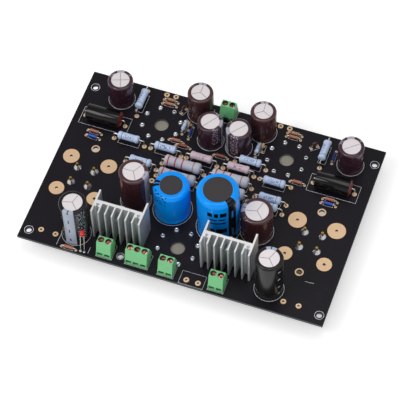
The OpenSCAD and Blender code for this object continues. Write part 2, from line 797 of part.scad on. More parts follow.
// Terminal housing: a cavity, wire window, screw well and ribs for each pole
module terminal_housing(i) {
  poles = terminals[i][1];
  w = poles * pole_pitch - term_side_gap;
  cavity_w = cage_w + 2 * cage_gap;
  cavity_d = cage_d + 2 * cage_gap;
  rib_z = term_foot_z + term_foot_slope;
  color("#5cb86c") on_board(terminals[i][0], terminals[i][2]) difference() {
    union() {
      across(w) terminal_outline();
      across(w + 2 * flange_lip) intersection() {
        terminal_outline();
        translate([-term_front, 0]) square([flange_t, term_ledge_z]);
      }
      for (k = [0:poles - 1]) translate([pole_x(poles, k), term_back - rib_d / 2 + rib_set_back, rib_z])
        cylinder(d = rib_d, h = term_back_z - rib_z);
    }
    for (k = [0:poles - 1]) translate([pole_x(poles, k), 0, 0]) {
      translate([-cavity_w / 2, -cavity_d / 2, -over]) cube([cavity_w, cavity_d, cavity_top_z + over]);
      translate([-bar_w / 2 - fit, 0, -over])
        cube([bar_w + 2 * fit, bar_pin_y + bar_w / 4 + fit, bar_top_z + fit + over]);
      across(window_w) polygon([
        [-term_front - over, window_low], [-cavity_d / 2 + over, window_inner_low],
        [-cavity_d / 2 + over, window_high], [-term_front - over, window_high]
      ]);
      cylinder(d = shank_d + 2 * shoulder_hole_gap, h = term_h);
      translate([0, 0, head_seat_z]) cylinder(d = head_d + 2 * well_gap, h = term_h);
    }
  }
}

// Slotted clamping screw of one pole
module terminal_screw(i, k) {
  shank_z = bar_top_z + shank_clear;
  head_z = head_seat_z + head_gap;
  order = [for (t = [0:1:i - 1]) terminals[t][1]];
  turn = slot_turns[k + len([for (n = order, j = [1:n]) j])];
  color("#d08a78") on_board(terminals[i][0], terminals[i][2])
    translate([pole_x(terminals[i][1], k), 0, 0]) difference() {
      union() {
        translate([0, 0, shank_z]) cylinder(d = shank_d, h = head_z + head_h / 2 - shank_z);
        translate([0, 0, head_z]) cylinder(d = head_d, h = head_h);
      }
      rotate(turn) translate([-head_d, -slot_w / 2, head_z + head_h - slot_depth])
        cube([2 * head_d, slot_w, slot_depth + over]);
    }
}

// Open-ended clamp cage that the screw draws up towards the contact bar
module terminal_cage(i, k) {
  color("#c9cdd2") on_board(terminals[i][0], terminals[i][2])
    translate([pole_x(terminals[i][1], k), 0, cage_rest_z]) difference() {
      translate([-cage_w / 2, -cage_d / 2, 0]) cube([cage_w, cage_d, cage_h]);
      translate([-cage_w / 2 + cage_side, -cage_d, cage_floor])
        cube([cage_w - 2 * cage_side, 2 * cage_d, cage_h - cage_floor - cage_roof]);
      translate([0, 0, cage_h - cage_roof - over])
        cylinder(d = shank_d + 2 * cage_hole_gap, h = cage_roof + 2 * over);
    }
}

// Contact bars that pass through the cages and turn down to a soldered pin
module terminal_contacts() color("#c9cdd2") {
  for (t = terminals, k = [0:t[1] - 1]) on_board(t[0], t[2]) translate([pole_x(t[1], k), 0, 0]) {
    translate([-bar_w / 2, -bar_front, bar_top_z - bar_t])
      cube([bar_w, bar_front + bar_pin_y + bar_pin_d / 2, bar_t]);
    translate([0, bar_pin_y, -board_t - tail_below])
      cylinder(d = bar_pin_d, h = board_t + tail_below + bar_top_z - bar_t / 2);
  }
}

// Straight wires out of both ends, bent down through the board
module lead_wires(pitch, rise, d, bend, lean) {
  for (side = [0, 1]) mirror([side, 0, 0]) {
    translate([pitch / 2, 0, -board_t - tail_below])
      cylinder(d = d, h = board_t + tail_below + wire_foot + d / 4);
    translate([0, 0, wire_foot]) rotate([lean, 0, 0]) {
      translate([pitch / 2, 0, -d / 4]) cylinder(d = d, h = rise - wire_foot - bend + d / 4);
      translate([pitch / 2 - bend, 0, rise - wire_foot - bend]) rotate([90, 0, 0])
        rotate_extrude(angle = 90) translate([bend, 0]) circle(d = d);
      translate([0, 0, rise - wire_foot]) rotate([0, 90, 0]) cylinder(d = d, h = pitch / 2 - bend);
    }
  }
}

// A resistor's lathed body with pressed end caps, lying along X
module resistor_body(d, l) {
  cap_l = l * cap_share;
  waist = d * waist_share / 2;
  edge = d * cap_round_share / 2;
  translate([-l / 2, 0, 0]) rotate([0, 90, 0]) rotate_extrude() polygon([
    [0, 0], [d / 2 - edge, 0], [d / 2, edge], [d / 2, cap_l], [waist, cap_l + edge],
    [waist, l - cap_l - edge], [d / 2, l - cap_l], [d / 2, l - edge], [d / 2 - edge, l], [0, l]
  ]);
}

module resistors(rows, d, l, pitch, rise, wire, bend) {
  for (row = rows) on_board(row[0], row[1]) {
    lead_wires(pitch, rise, wire, bend, row[2]);
    translate([0, 0, wire_foot]) rotate([row[2], 0, 0]) translate([0, 0, rise - wire_foot])
      resistor_body(d, l);
  }
}

module blue_resistors() color("#8fb0d8") {
  resistors(power_res_rows, blue_res_d, power_res_l, power_res_pitch, power_rise, wire_d, bend_r);
  resistors(mid_res_rows, mid_res_d, mid_res_l, mid_res_pitch, mid_res_d, fine_wire_d, fine_bend_r);
}

module pink_resistors() color("#c9a9a6")
  resistors(pink_res_rows, blue_res_d, power_res_l, power_res_pitch, power_rise, wire_d, bend_r);

module grey_resistors() color("#9a9fb0")
  resistors(grey_res_rows, grey_res_d, grey_res_l, grey_res_pitch, power_rise, wire_d, bend_r);

module small_resistors() color("#b5694a")
  resistors(
    small_res_rows, small_res_d, small_res_l, small_res_pitch,
    small_res_d / 2 + small_rise_gap + wire_foot, fine_wire_d, fine_bend_r
  );

// Side outline of a film capacitor: soft ends, and a groove where the wrap meets the end seal
module film_outline() {
  r = film_d / 2;
  wrap_l = film_l - film_seal_l;
  polygon([
    [0, 0], [r - film_round, 0], [r, film_round], [r, wrap_l], [r - film_groove, wrap_l],
    [r - film_groove, wrap_l + film_groove], [r, wrap_l + 2 * film_groove],
    [r, film_l - film_round], [r - film_round, film_l], [0, film_l]
  ]);
}

// Film capacitors on their sides
module film_capacitors() color("#17181a") {
  for (row = film_rows) on_board(row[0], row[1]) {
    lead_wires(film_pitch, film_rise, wire_d, bend_r, row[2]);
    translate([-film_l / 2, 0, film_rise]) rotate([0, 90, 0]) rotate_extrude() film_outline();
  }
}

// Half outline of a dipped bead: flat faces and a soft rim
module bead_outline() {
  r = bead_d / 2;
  rim = bead_t / 2;
  polygon([[0, -rim], [r - rim, -rim], [r, -rim / 2], [r, rim / 2], [r - rim, rim], [0, rim]]);
}

// Dipped bead capacitors on two straight leads
module bead_capacitors() color("#6b3f2a") {
  for (row = bead_rows) on_board(row[0], row[1]) {
    translate([0, 0, bead_rise + bead_d / 2]) rotate([90, 0, 0]) rotate_extrude() bead_outline();
    for (side = [-1, 1]) translate([side * bead_pitch / 2, 0, -board_t - tail_below])
      cylinder(d = fine_wire_d, h = board_t + tail_below + bead_rise + bead_d / 2);
    translate([0, 0, bead_rise + bead_d / 2]) rotate([0, 90, 0])
      cylinder(d = fine_wire_d, h = bead_pitch, center = true);
  }
}

// Indicator lamp on two long bare legs, leaning a little to the right
module indicator_lamp() color("#e0201c") {
  on_board(lamp_share) rotate([0, lamp_lean, 0]) {
    for (side = [-1, 1]) translate([side * lamp_pitch / 2, 0, -board_t - tail_below / 2])
      cylinder(d = led_wire_d, h = board_t + tail_below / 2 + lamp_rise + lamp_flange_t / 2);
    translate([0, 0, lamp_rise]) {
      difference() {
        cylinder(d = lamp_flange_d, h = lamp_flange_t);
        translate([lamp_flange_d / 2 - lamp_flat, -lamp_flange_d, -over])
          cube([lamp_flange_d, 2 * lamp_flange_d, lamp_flange_t + 2 * over]);
      }
      cylinder(d = lamp_d, h = lamp_lens_l);
      translate([0, 0, lamp_lens_l]) sphere(d = lamp_d);
    }
  }
}

circuit_board();
plated_pads();
solder_joints();
octal_socket(octal_place_shares[0]);  // octal_socket_left
octal_socket(octal_place_shares[1]);  // octal_socket_right
octal_socket(octal_place_shares[2]);  // octal_socket_front
tube_socket(tube_place_shares[0]);  // tube_socket_left
tube_socket(tube_place_shares[1]);  // tube_socket_right
socket_contacts();
purple_cans();
brown_cans();
blue_cans();
black_cans();
blue_can_discs();
brown_sleeves();
blue_sleeves();
black_sleeves();
heatsink(sink_place_shares[0]);  // heatsink_left
heatsink(sink_place_shares[1]);  // heatsink_right
regulator(sink_place_shares[0]);  // regulator_left
regulator(sink_place_shares[1]);  // regulator_right
heatsink_screws();
heatsink_pins();
terminal_housing(0);  // terminal_a_housing
terminal_housing(1);  // terminal_b_housing
terminal_housing(2);  // terminal_c_housing
terminal_housing(3);  // terminal_d_housing
terminal_housing(4);  // terminal_e_housing
terminal_contacts();
terminal_screw(0, 0);  // terminal_a_screw_1
terminal_screw(0, 1);  // terminal_a_screw_2
terminal_screw(1, 0);  // terminal_b_screw_1
terminal_screw(1, 1);  // terminal_b_screw_2
terminal_screw(1, 2);  // terminal_b_screw_3
terminal_screw(2, 0);  // terminal_c_screw_1
terminal_screw(2, 1);  // terminal_c_screw_2
terminal_screw(3, 0);  // terminal_d_screw_1
terminal_screw(3, 1);  // terminal_d_screw_2
terminal_screw(4, 0);  // terminal_e_screw_1
terminal_screw(4, 1);  // terminal_e_screw_2
terminal_cage(0, 0);  // terminal_a_cage_1
terminal_cage(0, 1);  // terminal_a_cage_2
terminal_cage(1, 0);  // terminal_b_cage_1
terminal_cage(1, 1);  // terminal_b_cage_2
terminal_cage(1, 2);  // terminal_b_cage_3
terminal_cage(2, 0);  // terminal_c_cage_1
terminal_cage(2, 1);  // terminal_c_cage_2
terminal_cage(3, 0);  // terminal_d_cage_1
terminal_cage(3, 1);  // terminal_d_cage_2
terminal_cage(4, 0);  // terminal_e_cage_1
terminal_cage(4, 1);  // terminal_e_cage_2
blue_resistors();
pink_resistors();
grey_resistors();
small_resistors();
film_capacitors();
bead_capacitors();
indicator_lamp();
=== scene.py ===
"""Finishes and fine forms of an audio amplifier board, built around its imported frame.

The board, the cans, the contacts and the clamp cages keep their own solids and only get
finishes. Sleeves, plating, screws, resistors, solder, housings, heatsinks and the lamp are
remade here with the curves, bands and soft edges of the real ones, each in the place of its
solid.
"""

from __future__ import annotations

import json
import logging
import math
from dataclasses import dataclass, field, replace
from enum import Enum
from typing import Any, Callable, Iterable, Optional, Sequence

import bmesh
import bpy
import numpy as np
from mathutils import Matrix, Vector

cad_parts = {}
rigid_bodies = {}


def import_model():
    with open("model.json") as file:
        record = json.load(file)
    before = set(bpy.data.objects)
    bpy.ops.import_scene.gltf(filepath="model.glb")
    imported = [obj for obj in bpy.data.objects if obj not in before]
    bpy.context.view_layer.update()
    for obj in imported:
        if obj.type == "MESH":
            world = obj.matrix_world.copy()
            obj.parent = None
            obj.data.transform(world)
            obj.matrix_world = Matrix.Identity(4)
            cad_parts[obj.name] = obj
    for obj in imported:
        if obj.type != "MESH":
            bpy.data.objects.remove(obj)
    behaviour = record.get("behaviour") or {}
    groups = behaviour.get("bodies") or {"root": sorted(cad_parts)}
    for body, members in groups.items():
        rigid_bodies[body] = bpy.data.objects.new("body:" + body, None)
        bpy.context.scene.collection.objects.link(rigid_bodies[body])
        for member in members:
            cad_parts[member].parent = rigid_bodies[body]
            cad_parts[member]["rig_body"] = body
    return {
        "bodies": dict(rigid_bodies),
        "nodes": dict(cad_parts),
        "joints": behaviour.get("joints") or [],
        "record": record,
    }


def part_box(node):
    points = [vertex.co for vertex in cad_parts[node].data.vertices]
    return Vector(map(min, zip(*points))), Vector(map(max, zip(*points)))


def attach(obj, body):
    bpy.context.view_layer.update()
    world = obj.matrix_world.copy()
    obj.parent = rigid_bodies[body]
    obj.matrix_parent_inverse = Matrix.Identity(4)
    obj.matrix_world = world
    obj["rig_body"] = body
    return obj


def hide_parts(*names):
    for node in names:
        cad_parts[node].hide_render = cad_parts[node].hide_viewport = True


LOG = logging.getLogger("amplifier_board")
MM = 0.001
ROOT = "root"

Colour = tuple[float, float, float, float]
Point = tuple[float, float, float]
Profile = list[tuple[float, float]]


class Slot(Enum):
    """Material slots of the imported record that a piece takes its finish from."""

    SOLDER = "solder"
    CERAMIC = "socket_ceramic"
    BROWN_SLEEVE = "brown_sleeve"
    BLUE_SLEEVE = "blue_sleeve"
    BLACK_SLEEVE = "black_sleeve"
    HEATSINK = "heatsink_aluminium"
    TERMINAL = "terminal_green"
    WIRE = "tinned_copper"
    BLUE_COAT = "blue_coating"
    PINK_COAT = "pink_coating"
    GREY_COAT = "grey_coating"
    COPPER_COAT = "copper_coating"
    FILM_WRAP = "black_wrap"
    BEAD_DIP = "bead_dip"
    LENS = "red_lens"
    LAMINATE = "board_laminate"
    PLATING = "gold_plating"
    SCREW = "terminal_screw_copper"


class SmallCoat(Enum):
    """Coatings of the small resistors."""

    COPPER = "copper"
    BLUE = "blue"
    DARK_BLUE = "dark_blue"
    BROWN = "brown"
    BANDED = "banded"


def srgb(text: str) -> Colour:
    """Turn a written colour such as #dcb97d into linear light.

    Args:
        text: Six hexadecimal digits after a hash.

    Returns:
        Red, green, blue and full opacity.
    """
    parts = [int(text[i:i + 2], 16) / 255 for i in (1, 3, 5)]
    linear = [p / 12.92 if p <= 0.04045 else ((p + 0.055) / 1.055) ** 2.4 for p in parts]
    return (linear[0], linear[1], linear[2], 1.0)


class Graph:
    """A node tree with short calls to add nodes and to join their sockets."""

    def __init__(self, tree: bpy.types.NodeTree) -> None:
        """Work on the given tree."""
        self.tree = tree

    def add(self, kind: str, feeds: Optional[dict[Any, Any]] = None, **settings: Any) -> bpy.types.Node:
        """Add a node.

        Args:
            kind: The node's type name.
            feeds: A value or a socket for each named or numbered input.
            **settings: Properties of the node itself.

        Returns:
            The new node.
        """
        node = self.tree.nodes.new(kind)
        for name, value in settings.items():
            setattr(node, name, value)
        for key, value in (feeds or {}).items():
            self.feed(node.inputs[key], value)
        return node

    def feed(self, socket: bpy.types.NodeSocket, value: Any) -> None:
        """Join a socket to another one, or set its own value."""
        if isinstance(value, bpy.types.NodeSocket):
            self.tree.links.new(value, socket)
        else:
            socket.default_value = value

    def math(self, operation: str, a: Any, b: Any = 0.0, clamp: bool = False) -> bpy.types.NodeSocket:
        """Return the result of a sum on two values or sockets."""
        node = self.add("ShaderNodeMath", {0: a, 1: b}, operation=operation, use_clamp=clamp)
        return node.outputs[0]

    def mix(self, share: Any, a: Any, b: Any, blend: str = "MIX") -> bpy.types.NodeSocket:
        """Return a colour between two others, or a blend of them."""
        node = self.add("ShaderNodeMix", {0: share, 6: a, 7: b}, data_type="RGBA", blend_type=blend)
        return node.outputs[2]

    def between(self, value: Any, low: float, high: float) -> bpy.types.NodeSocket:
        """Return 1 where a value lies between two bounds, and else 0."""
        over = self.math("GREATER_THAN", value, low)
        under = self.math("LESS_THAN", value, high)
        return self.math("MULTIPLY", over, under)

    def ramp(self, share: Any, low: float, high: float) -> bpy.types.NodeSocket:
        """Return a smooth step from 0 at the low bound to 1 at the high one."""
        node = self.add("ShaderNodeMapRange", {0: share, 1: low, 2: high}, interpolation_type="SMOOTHSTEP")
        return node.outputs[0]


def new_group(name: str, kind: str, inputs: Sequence[tuple], outputs: Sequence[tuple]) -> tuple:
    """Make a node group with named sockets.

    Args:
        name: Name of the group.
        kind: Tree type of the group.
        inputs: Name and socket type of each input, with a default value where it has one.
        outputs: Name and socket type of each output.

    Returns:
        The graph, the input node and the output node.
    """
    tree = bpy.data.node_groups.new(name, kind)
    for label, socket_type, *default in inputs:
        socket = tree.interface.new_socket(name=label, in_out="INPUT", socket_type=socket_type)
        if default:
            socket.default_value = default[0]
    for label, socket_type in outputs:
        tree.interface.new_socket(name=label, in_out="OUTPUT", socket_type=socket_type)
    graph = Graph(tree)
    return graph, graph.add("NodeGroupInput"), graph.add("NodeGroupOutput")


class SurfaceGroups:
    """Shader node groups for the effects that several finishes share, each built once."""

    def __init__(self) -> None:
        """Start with no group built."""
        self.made: dict[str, bpy.types.NodeTree] = {}

    def get(self, name: str) -> bpy.types.NodeTree:
        """Return the named group, built at its first use."""
        if name not in self.made:
            self.made[name] = getattr(self, name)()
        return self.made[name]

    def fine_grain(self) -> bpy.types.NodeTree:
        """Cloudy colour, uneven gloss and a fine relief.

        Returns:
            The group's tree.
        """
        graph, given, out = new_group(
            "fine_grain", "ShaderNodeTree",
            [
                ("Color", "NodeSocketColor"), ("Variation", "NodeSocketFloat", 0.1),
                ("Roughness", "NodeSocketFloat", 0.5), ("Spread", "NodeSocketFloat", 0.1),
                ("Cloud Scale", "NodeSocketFloat", 150.0), ("Grain Scale", "NodeSocketFloat", 3000.0),
                ("Stretch", "NodeSocketVector", (1.0, 1.0, 1.0)), ("Relief", "NodeSocketFloat", 0.1),
            ],
            [
                ("Color", "NodeSocketColor"), ("Roughness", "NodeSocketFloat"),
                ("Normal", "NodeSocketVector"),
            ],
        )
        place = graph.add("ShaderNodeTexCoord").outputs["Object"]
        stretch = given.outputs["Stretch"]
        spread = graph.add("ShaderNodeVectorMath", {0: place, 1: stretch}, operation="MULTIPLY")
        cloud = graph.add("ShaderNodeTexNoise", {
            "Vector": place, "Scale": given.outputs["Cloud Scale"], "Detail": 3.0,
        })
        grain = graph.add("ShaderNodeTexNoise", {
            "Vector": spread.outputs[0], "Scale": given.outputs["Grain Scale"],
            "Detail": 4.0, "Roughness": 0.6,
        })
        both = graph.math("ADD", cloud.outputs[0], grain.outputs[0])
        swing = graph.math("MULTIPLY", graph.math("SUBTRACT", both, 1.0), given.outputs["Variation"])
        shade = graph.math("ADD", swing, 1.0)
        tint = graph.add("ShaderNodeCombineColor", {0: shade, 1: shade, 2: shade})
        colour = graph.mix(1.0, given.outputs["Color"], tint.outputs[0], "MULTIPLY")
        gloss = graph.math("MULTIPLY", graph.math("SUBTRACT", grain.outputs[0], 0.5), given.outputs["Spread"])
        rough = graph.math("ADD", given.outputs["Roughness"], gloss, clamp=True)
        bump = graph.add("ShaderNodeBump", {
            "Strength": given.outputs["Relief"], "Distance": 0.1 * MM, "Height": grain.outputs[0],
        })
        graph.feed(out.inputs["Color"], colour)
        graph.feed(out.inputs["Roughness"], rough)
        graph.feed(out.inputs["Normal"], bump.outputs[0])
        return graph.tree

    def specks(self) -> bpy.types.NodeTree:
        """Small pale specks of dust and wear.

        Returns:
            The group's tree.
        """
        graph, given, out = new_group(
            "specks", "ShaderNodeTree",
            [("Scale", "NodeSocketFloat", 700.0), ("Amount", "NodeSocketFloat", 0.3)],
            [("Mask", "NodeSocketFloat")],
        )
        place = graph.add("ShaderNodeTexCoord").outputs["Object"]
        cells = graph.add("ShaderNodeTexVoronoi", {"Vector": place, "Scale": given.outputs["Scale"]})
        dots = graph.ramp(cells.outputs["Distance"], 0.16, 0.06)
        where = graph.add("ShaderNodeTexNoise", {"Vector": place, "Scale": 90.0, "Detail": 2.0})
        patch = graph.ramp(where.outputs[0], 0.5, 0.65)
        mask = graph.math("MULTIPLY", graph.math("MULTIPLY", dots, patch), given.outputs["Amount"])
        graph.feed(out.inputs["Mask"], mask)
        return graph.tree


GROUPS = SurfaceGroups()


@dataclass(frozen=True)
class Finish:
    """One surface finish: a colour, a gloss and the shared fine grain."""

    name: str
    colour: Colour
    roughness: float = 0.45
    metallic: float = 0.0
    specular: float = 0.5
    coat: float = 0.0
    variation: float = 0.12
    spread: float = 0.12
    cloud_scale: float = 150.0
    grain_scale: float = 3000.0
    stretch: Point = (1.0, 1.0, 1.0)
    relief: float = 0.12

    def paint(self, graph: Graph) -> Any:
        """Return the plain colour, or the socket of a pattern, before the grain."""
        return self.colour

    def settle(self, graph: Graph, shader: bpy.types.Node, grain: bpy.types.Node) -> None:
        """Join the grain to the shader; a finish with more to it does more here."""
        graph.feed(shader.inputs["Base Color"], grain.outputs["Color"])
        graph.feed(shader.inputs["Roughness"], grain.outputs["Roughness"])
        graph.feed(shader.inputs["Normal"], grain.outputs["Normal"])

    def build(self) -> bpy.types.Material:
        """Make the material.

        Returns:
            A node-based material under the finish's name.
        """
        material = bpy.data.materials.new(self.name)
        material.use_nodes = True
        graph = Graph(material.node_tree)
        shader = material.node_tree.nodes["Principled BSDF"]
        shader.inputs["Metallic"].default_value = self.metallic
        shader.inputs["Specular IOR Level"].default_value = self.specular
        shader.inputs["Coat Weight"].default_value = self.coat
        grain = graph.add("ShaderNodeGroup", node_tree=GROUPS.get("fine_grain"))
        feeds = {
            "Color": self.paint(graph), "Variation": self.variation, "Roughness": self.roughness,
            "Spread": self.spread, "Cloud Scale": self.cloud_scale, "Grain Scale": self.grain_scale,
            "Stretch": self.stretch, "Relief": self.relief,
        }
        for key, value in feeds.items():
            graph.feed(grain.inputs[key], value)
        self.settle(graph, shader, grain)
        return material


@dataclass(frozen=True)
class MaskFinish(Finish):
    """Black solder mask on both faces of the board, with bare laminate round its edges."""

    edge_colour: Colour = srgb("#50585a")
    dust_colour: Colour = srgb("#77747c")
    low: float = 0.0
    high: float = 1.0
    edge_band: float = 0.05 * MM
    track_scale: float = 55.0
    track_relief: float = 0.25

    def paint(self, graph: Graph) -> Any:
        """Scatter a little dust on the mask and bare the laminate at the edges."""
        place = graph.add("ShaderNodeTexCoord").outputs["Object"]
        parts = graph.add("ShaderNodeSeparateXYZ", {0: place})
        dust = graph.add("ShaderNodeGroup", node_tree=GROUPS.get("specks"))
        dust.inputs["Scale"].default_value = 900.0
        dust.inputs["Amount"].default_value = 0.35
        dusty = graph.mix(dust.outputs["Mask"], self.colour, self.dust_colour)
        edge = graph.between(parts.outputs["Z"], self.low + self.edge_band, self.high - self.edge_band)
        return graph.mix(edge, dusty, self.edge_colour)

    def settle(self, graph: Graph, shader: bpy.types.Node, grain: bpy.types.Node) -> None:
        """Raise the mask a little over the copper areas that lie under it."""
        super().settle(graph, shader, grain)
        place = graph.add("ShaderNodeTexCoord").outputs["Object"]
        wander = graph.add("ShaderNodeTexNoise", {"Vector": place, "Scale": self.track_scale, "Detail": 0.0})
        lines = graph.math("PINGPONG", graph.math("MULTIPLY", wander.outputs[0], 14.0), 1.0)
        step = graph.ramp(lines, 0.75, 0.85)
        relief = graph.add(
            "ShaderNodeBump",
            {
                "Strength": self.track_relief, "Distance": 0.05 * MM,
                "Height": step, "Normal": grain.outputs["Normal"],
            },
        )
        graph.feed(shader.inputs["Normal"], relief.outputs[0])


@dataclass(frozen=True)
class SleeveFinish(Finish):
    """A printed shrink sleeve: a stripe down one side, dashes in it, bars and fine print.

    The wrap map gives the angle from the stripe's middle, in radians, and the height along the
    sleeve. Each area below is its left, right, bottom and top on that map.
    """

    stripe_colour: Colour = srgb("#a8a3b4")
    dash_colour: Colour = srgb("#5c5566")
    print_colour: Colour = srgb("#8d8593")
    stripe_half: float = 0.37
    dash_half: float = 0.05
    dash_pace: float = 11 * MM
    print_scale: float = 900.0
    bars: tuple[tuple[float, float, float, float], ...] = ()
    prints: tuple[tuple[float, float, float, float], ...] = ()

    def area(self, graph: Graph, across: Any, along: Any, sides: Sequence[float]) -> bpy.types.NodeSocket:
        """Return 1 inside an area of the wrap map, and else 0."""
        left, right, bottom, top = sides
        return graph.math("MULTIPLY", graph.between(across, left, right), graph.between(along, bottom, top))

    def paint(self, graph: Graph) -> Any:
        """Lay the stripe, its dashes, the bars and the fine print over the sleeve's colour."""
        flat = graph.add("ShaderNodeUVMap", uv_map="wrap")
        parts = graph.add("ShaderNodeSeparateXYZ", {0: flat.outputs[0]})
        across = parts.outputs[0]
        along = parts.outputs[1]
        stripe = graph.between(across, -self.stripe_half, self.stripe_half)
        colour = graph.mix(stripe, self.colour, self.stripe_colour)
        pace = graph.math("FRACT", graph.math("MULTIPLY", along, 1 / self.dash_pace))
        middle = graph.between(across, -self.dash_half, self.dash_half)
        dash = graph.math("MULTIPLY", graph.between(pace, 0.3, 0.65), middle)
        colour = graph.mix(dash, colour, self.dash_colour)
        for sides in self.bars:
            colour = graph.mix(self.area(graph, across, along, sides), colour, self.print_colour)
        if self.prints:
            around = graph.math("MULTIPLY", across, 9 * MM)
            unrolled = graph.add("ShaderNodeCombineXYZ", {0: around, 1: along})
            blots = graph.add(
                "ShaderNodeTexNoise",
                {"Vector": unrolled.outputs[0], "Scale": self.print_scale, "Detail": 1.0},
            )
            inked = graph.ramp(blots.outputs[0], 0.52, 0.6)
            for sides in self.prints:
                where = self.area(graph, across, along, sides)
                colour = graph.mix(graph.math("MULTIPLY", inked, where), colour, self.print_colour)
        return colour


@dataclass(frozen=True)
class BandFinish(Finish):
    """A coated resistor with coloured bands round its body, and blots of print along it."""

    bands: tuple[tuple[float, float, Colour], ...] = ()
    print_colour: Optional[Colour] = None

    def paint(self, graph: Graph) -> Any:
        """Lay each band over the coating, at its share of the body's length."""
        flat = graph.add("ShaderNodeUVMap", uv_map="wrap")
        parts = graph.add("ShaderNodeSeparateXYZ", {0: flat.outputs[0]})
        colour: Any = self.colour
        for start, end, paint in self.bands:
            colour = graph.mix(graph.between(parts.outputs[1], start, end), colour, paint)
        if self.print_colour is not None:
            place = graph.add("ShaderNodeTexCoord").outputs["Object"]
            blots = graph.add("ShaderNodeTexNoise", {"Vector": place, "Scale": 1100.0, "Detail": 0.0})
            inked = graph.math("MULTIPLY", graph.ramp(blots.outputs[0], 0.5, 0.56), 0.75)
            row = graph.between(parts.outputs[1], 0.24, 0.72)
            facing = graph.between(parts.outputs[0], -3.05, -2.2)
            where = graph.math("MULTIPLY", row, facing)
            colour = graph.mix(graph.math("MULTIPLY", inked, where), colour, self.print_colour)
        return colour


@dataclass(frozen=True)
class GrooveShadeFinish(Finish):
    """A finish with painted shade in its grooves, found by how far they lie under the top faces."""

    groove_shade_colour: Colour = srgb("#8f898c")
    levels: tuple[float, ...] = ()
    drop: float = 0.06 * MM
    reach: float = 0.4 * MM

    def paint(self, graph: Graph) -> Any:
        """Paint shade on each stretch of height just under a top face."""
        place = graph.add("ShaderNodeTexCoord").outputs["Object"]
        height = graph.add("ShaderNodeSeparateXYZ", {0: place}).outputs["Z"]
        colour: Any = self.colour
        for level in self.levels:
            sunken = graph.between(height, level - self.reach, level - self.drop)
            colour = graph.mix(sunken, colour, self.groove_shade_colour)
        return colour


@dataclass(frozen=True)
class SawnAndLitTopFinish(Finish):
    """Extruded metal whose faces that point up are brighter than its drawn sides: partly the sawn finish,
    partly a painted highlight where they face the lamps.
    """

    sawn_and_lit_colour: Colour = srgb("#f4f4f4")

    def paint(self, graph: Graph) -> Any:
        """Brighten the faces that point up, as a painted highlight over the sawn finish."""
        normal = graph.add("ShaderNodeNewGeometry").outputs["Normal"]
        upward = graph.add("ShaderNodeSeparateXYZ", {0: normal}).outputs["Z"]
        return graph.mix(graph.ramp(upward, 0.6, 0.9), self.colour, self.sawn_and_lit_colour)


@dataclass(frozen=True)
class ShadedHousingFinish(Finish):
    """Moulded plastic with painted shade inside its screw wells and wire windows.

    A well is its centre's X and Y. A window is its left, right, the Y where the painted shade begins, where
    it is full and where the room ends, and its bottom and top.
    """

    painted_shade_colour: Colour = srgb("#12331f")
    well_r: float = 2.1 * MM
    wells: tuple[tuple[float, float], ...] = ()
    windows: tuple[tuple[float, ...], ...] = ()

    def paint(self, graph: Graph) -> Any:
        """Paint shade on the walls inside each well and on the back of each window."""
        place = graph.add("ShaderNodeTexCoord").outputs["Object"]
        parts = graph.add("ShaderNodeSeparateXYZ", {0: place})
        x, y, z = parts.outputs
        flat = graph.add("ShaderNodeCombineXYZ", {0: x, 1: y}).outputs[0]
        colour: Any = self.colour
        for centre in self.wells:
            reach = graph.add("ShaderNodeVectorMath", {0: flat, 1: (*centre, 0.0)}, operation="DISTANCE")
            inside = graph.math("LESS_THAN", reach.outputs["Value"], self.well_r)
            colour = graph.mix(inside, colour, self.painted_shade_colour)
        for left, right, outer, inner, back, bottom, top in self.windows:
            within = graph.math("MULTIPLY", graph.between(x, left, right), graph.between(z, bottom, top))
            within = graph.math("MULTIPLY", within, graph.between(y, min(outer, back), max(outer, back)))
            deep = graph.ramp(y, outer, inner)
            if inner < outer:
                deep = graph.math("SUBTRACT", 1.0, graph.ramp(y, inner, outer))
            colour = graph.mix(graph.math("MULTIPLY", within, deep), colour, self.painted_shade_colour)
        return colour


@dataclass(frozen=True)
class LensFinish(Finish):
    """Clear red plastic that light passes through."""

    transmission: float = 0.45

    def settle(self, graph: Graph, shader: bpy.types.Node, grain: bpy.types.Node) -> None:
        """Join the grain and let light through the plastic."""
        super().settle(graph, shader, grain)
        shader.inputs["Transmission Weight"].default_value = self.transmission


@dataclass(frozen=True)
class Island:
    """One separate solid of a CAD node: its corners and its turn about Z."""

    low: Vector
    high: Vector
    turn: float

    @property
    def middle(self) -> Vector:
        """Centre of the solid's box."""
        return (self.low + self.high) / 2

    @property
    def size(self) -> Vector:
        """Length of the solid's box along each axis."""
        return self.high - self.low


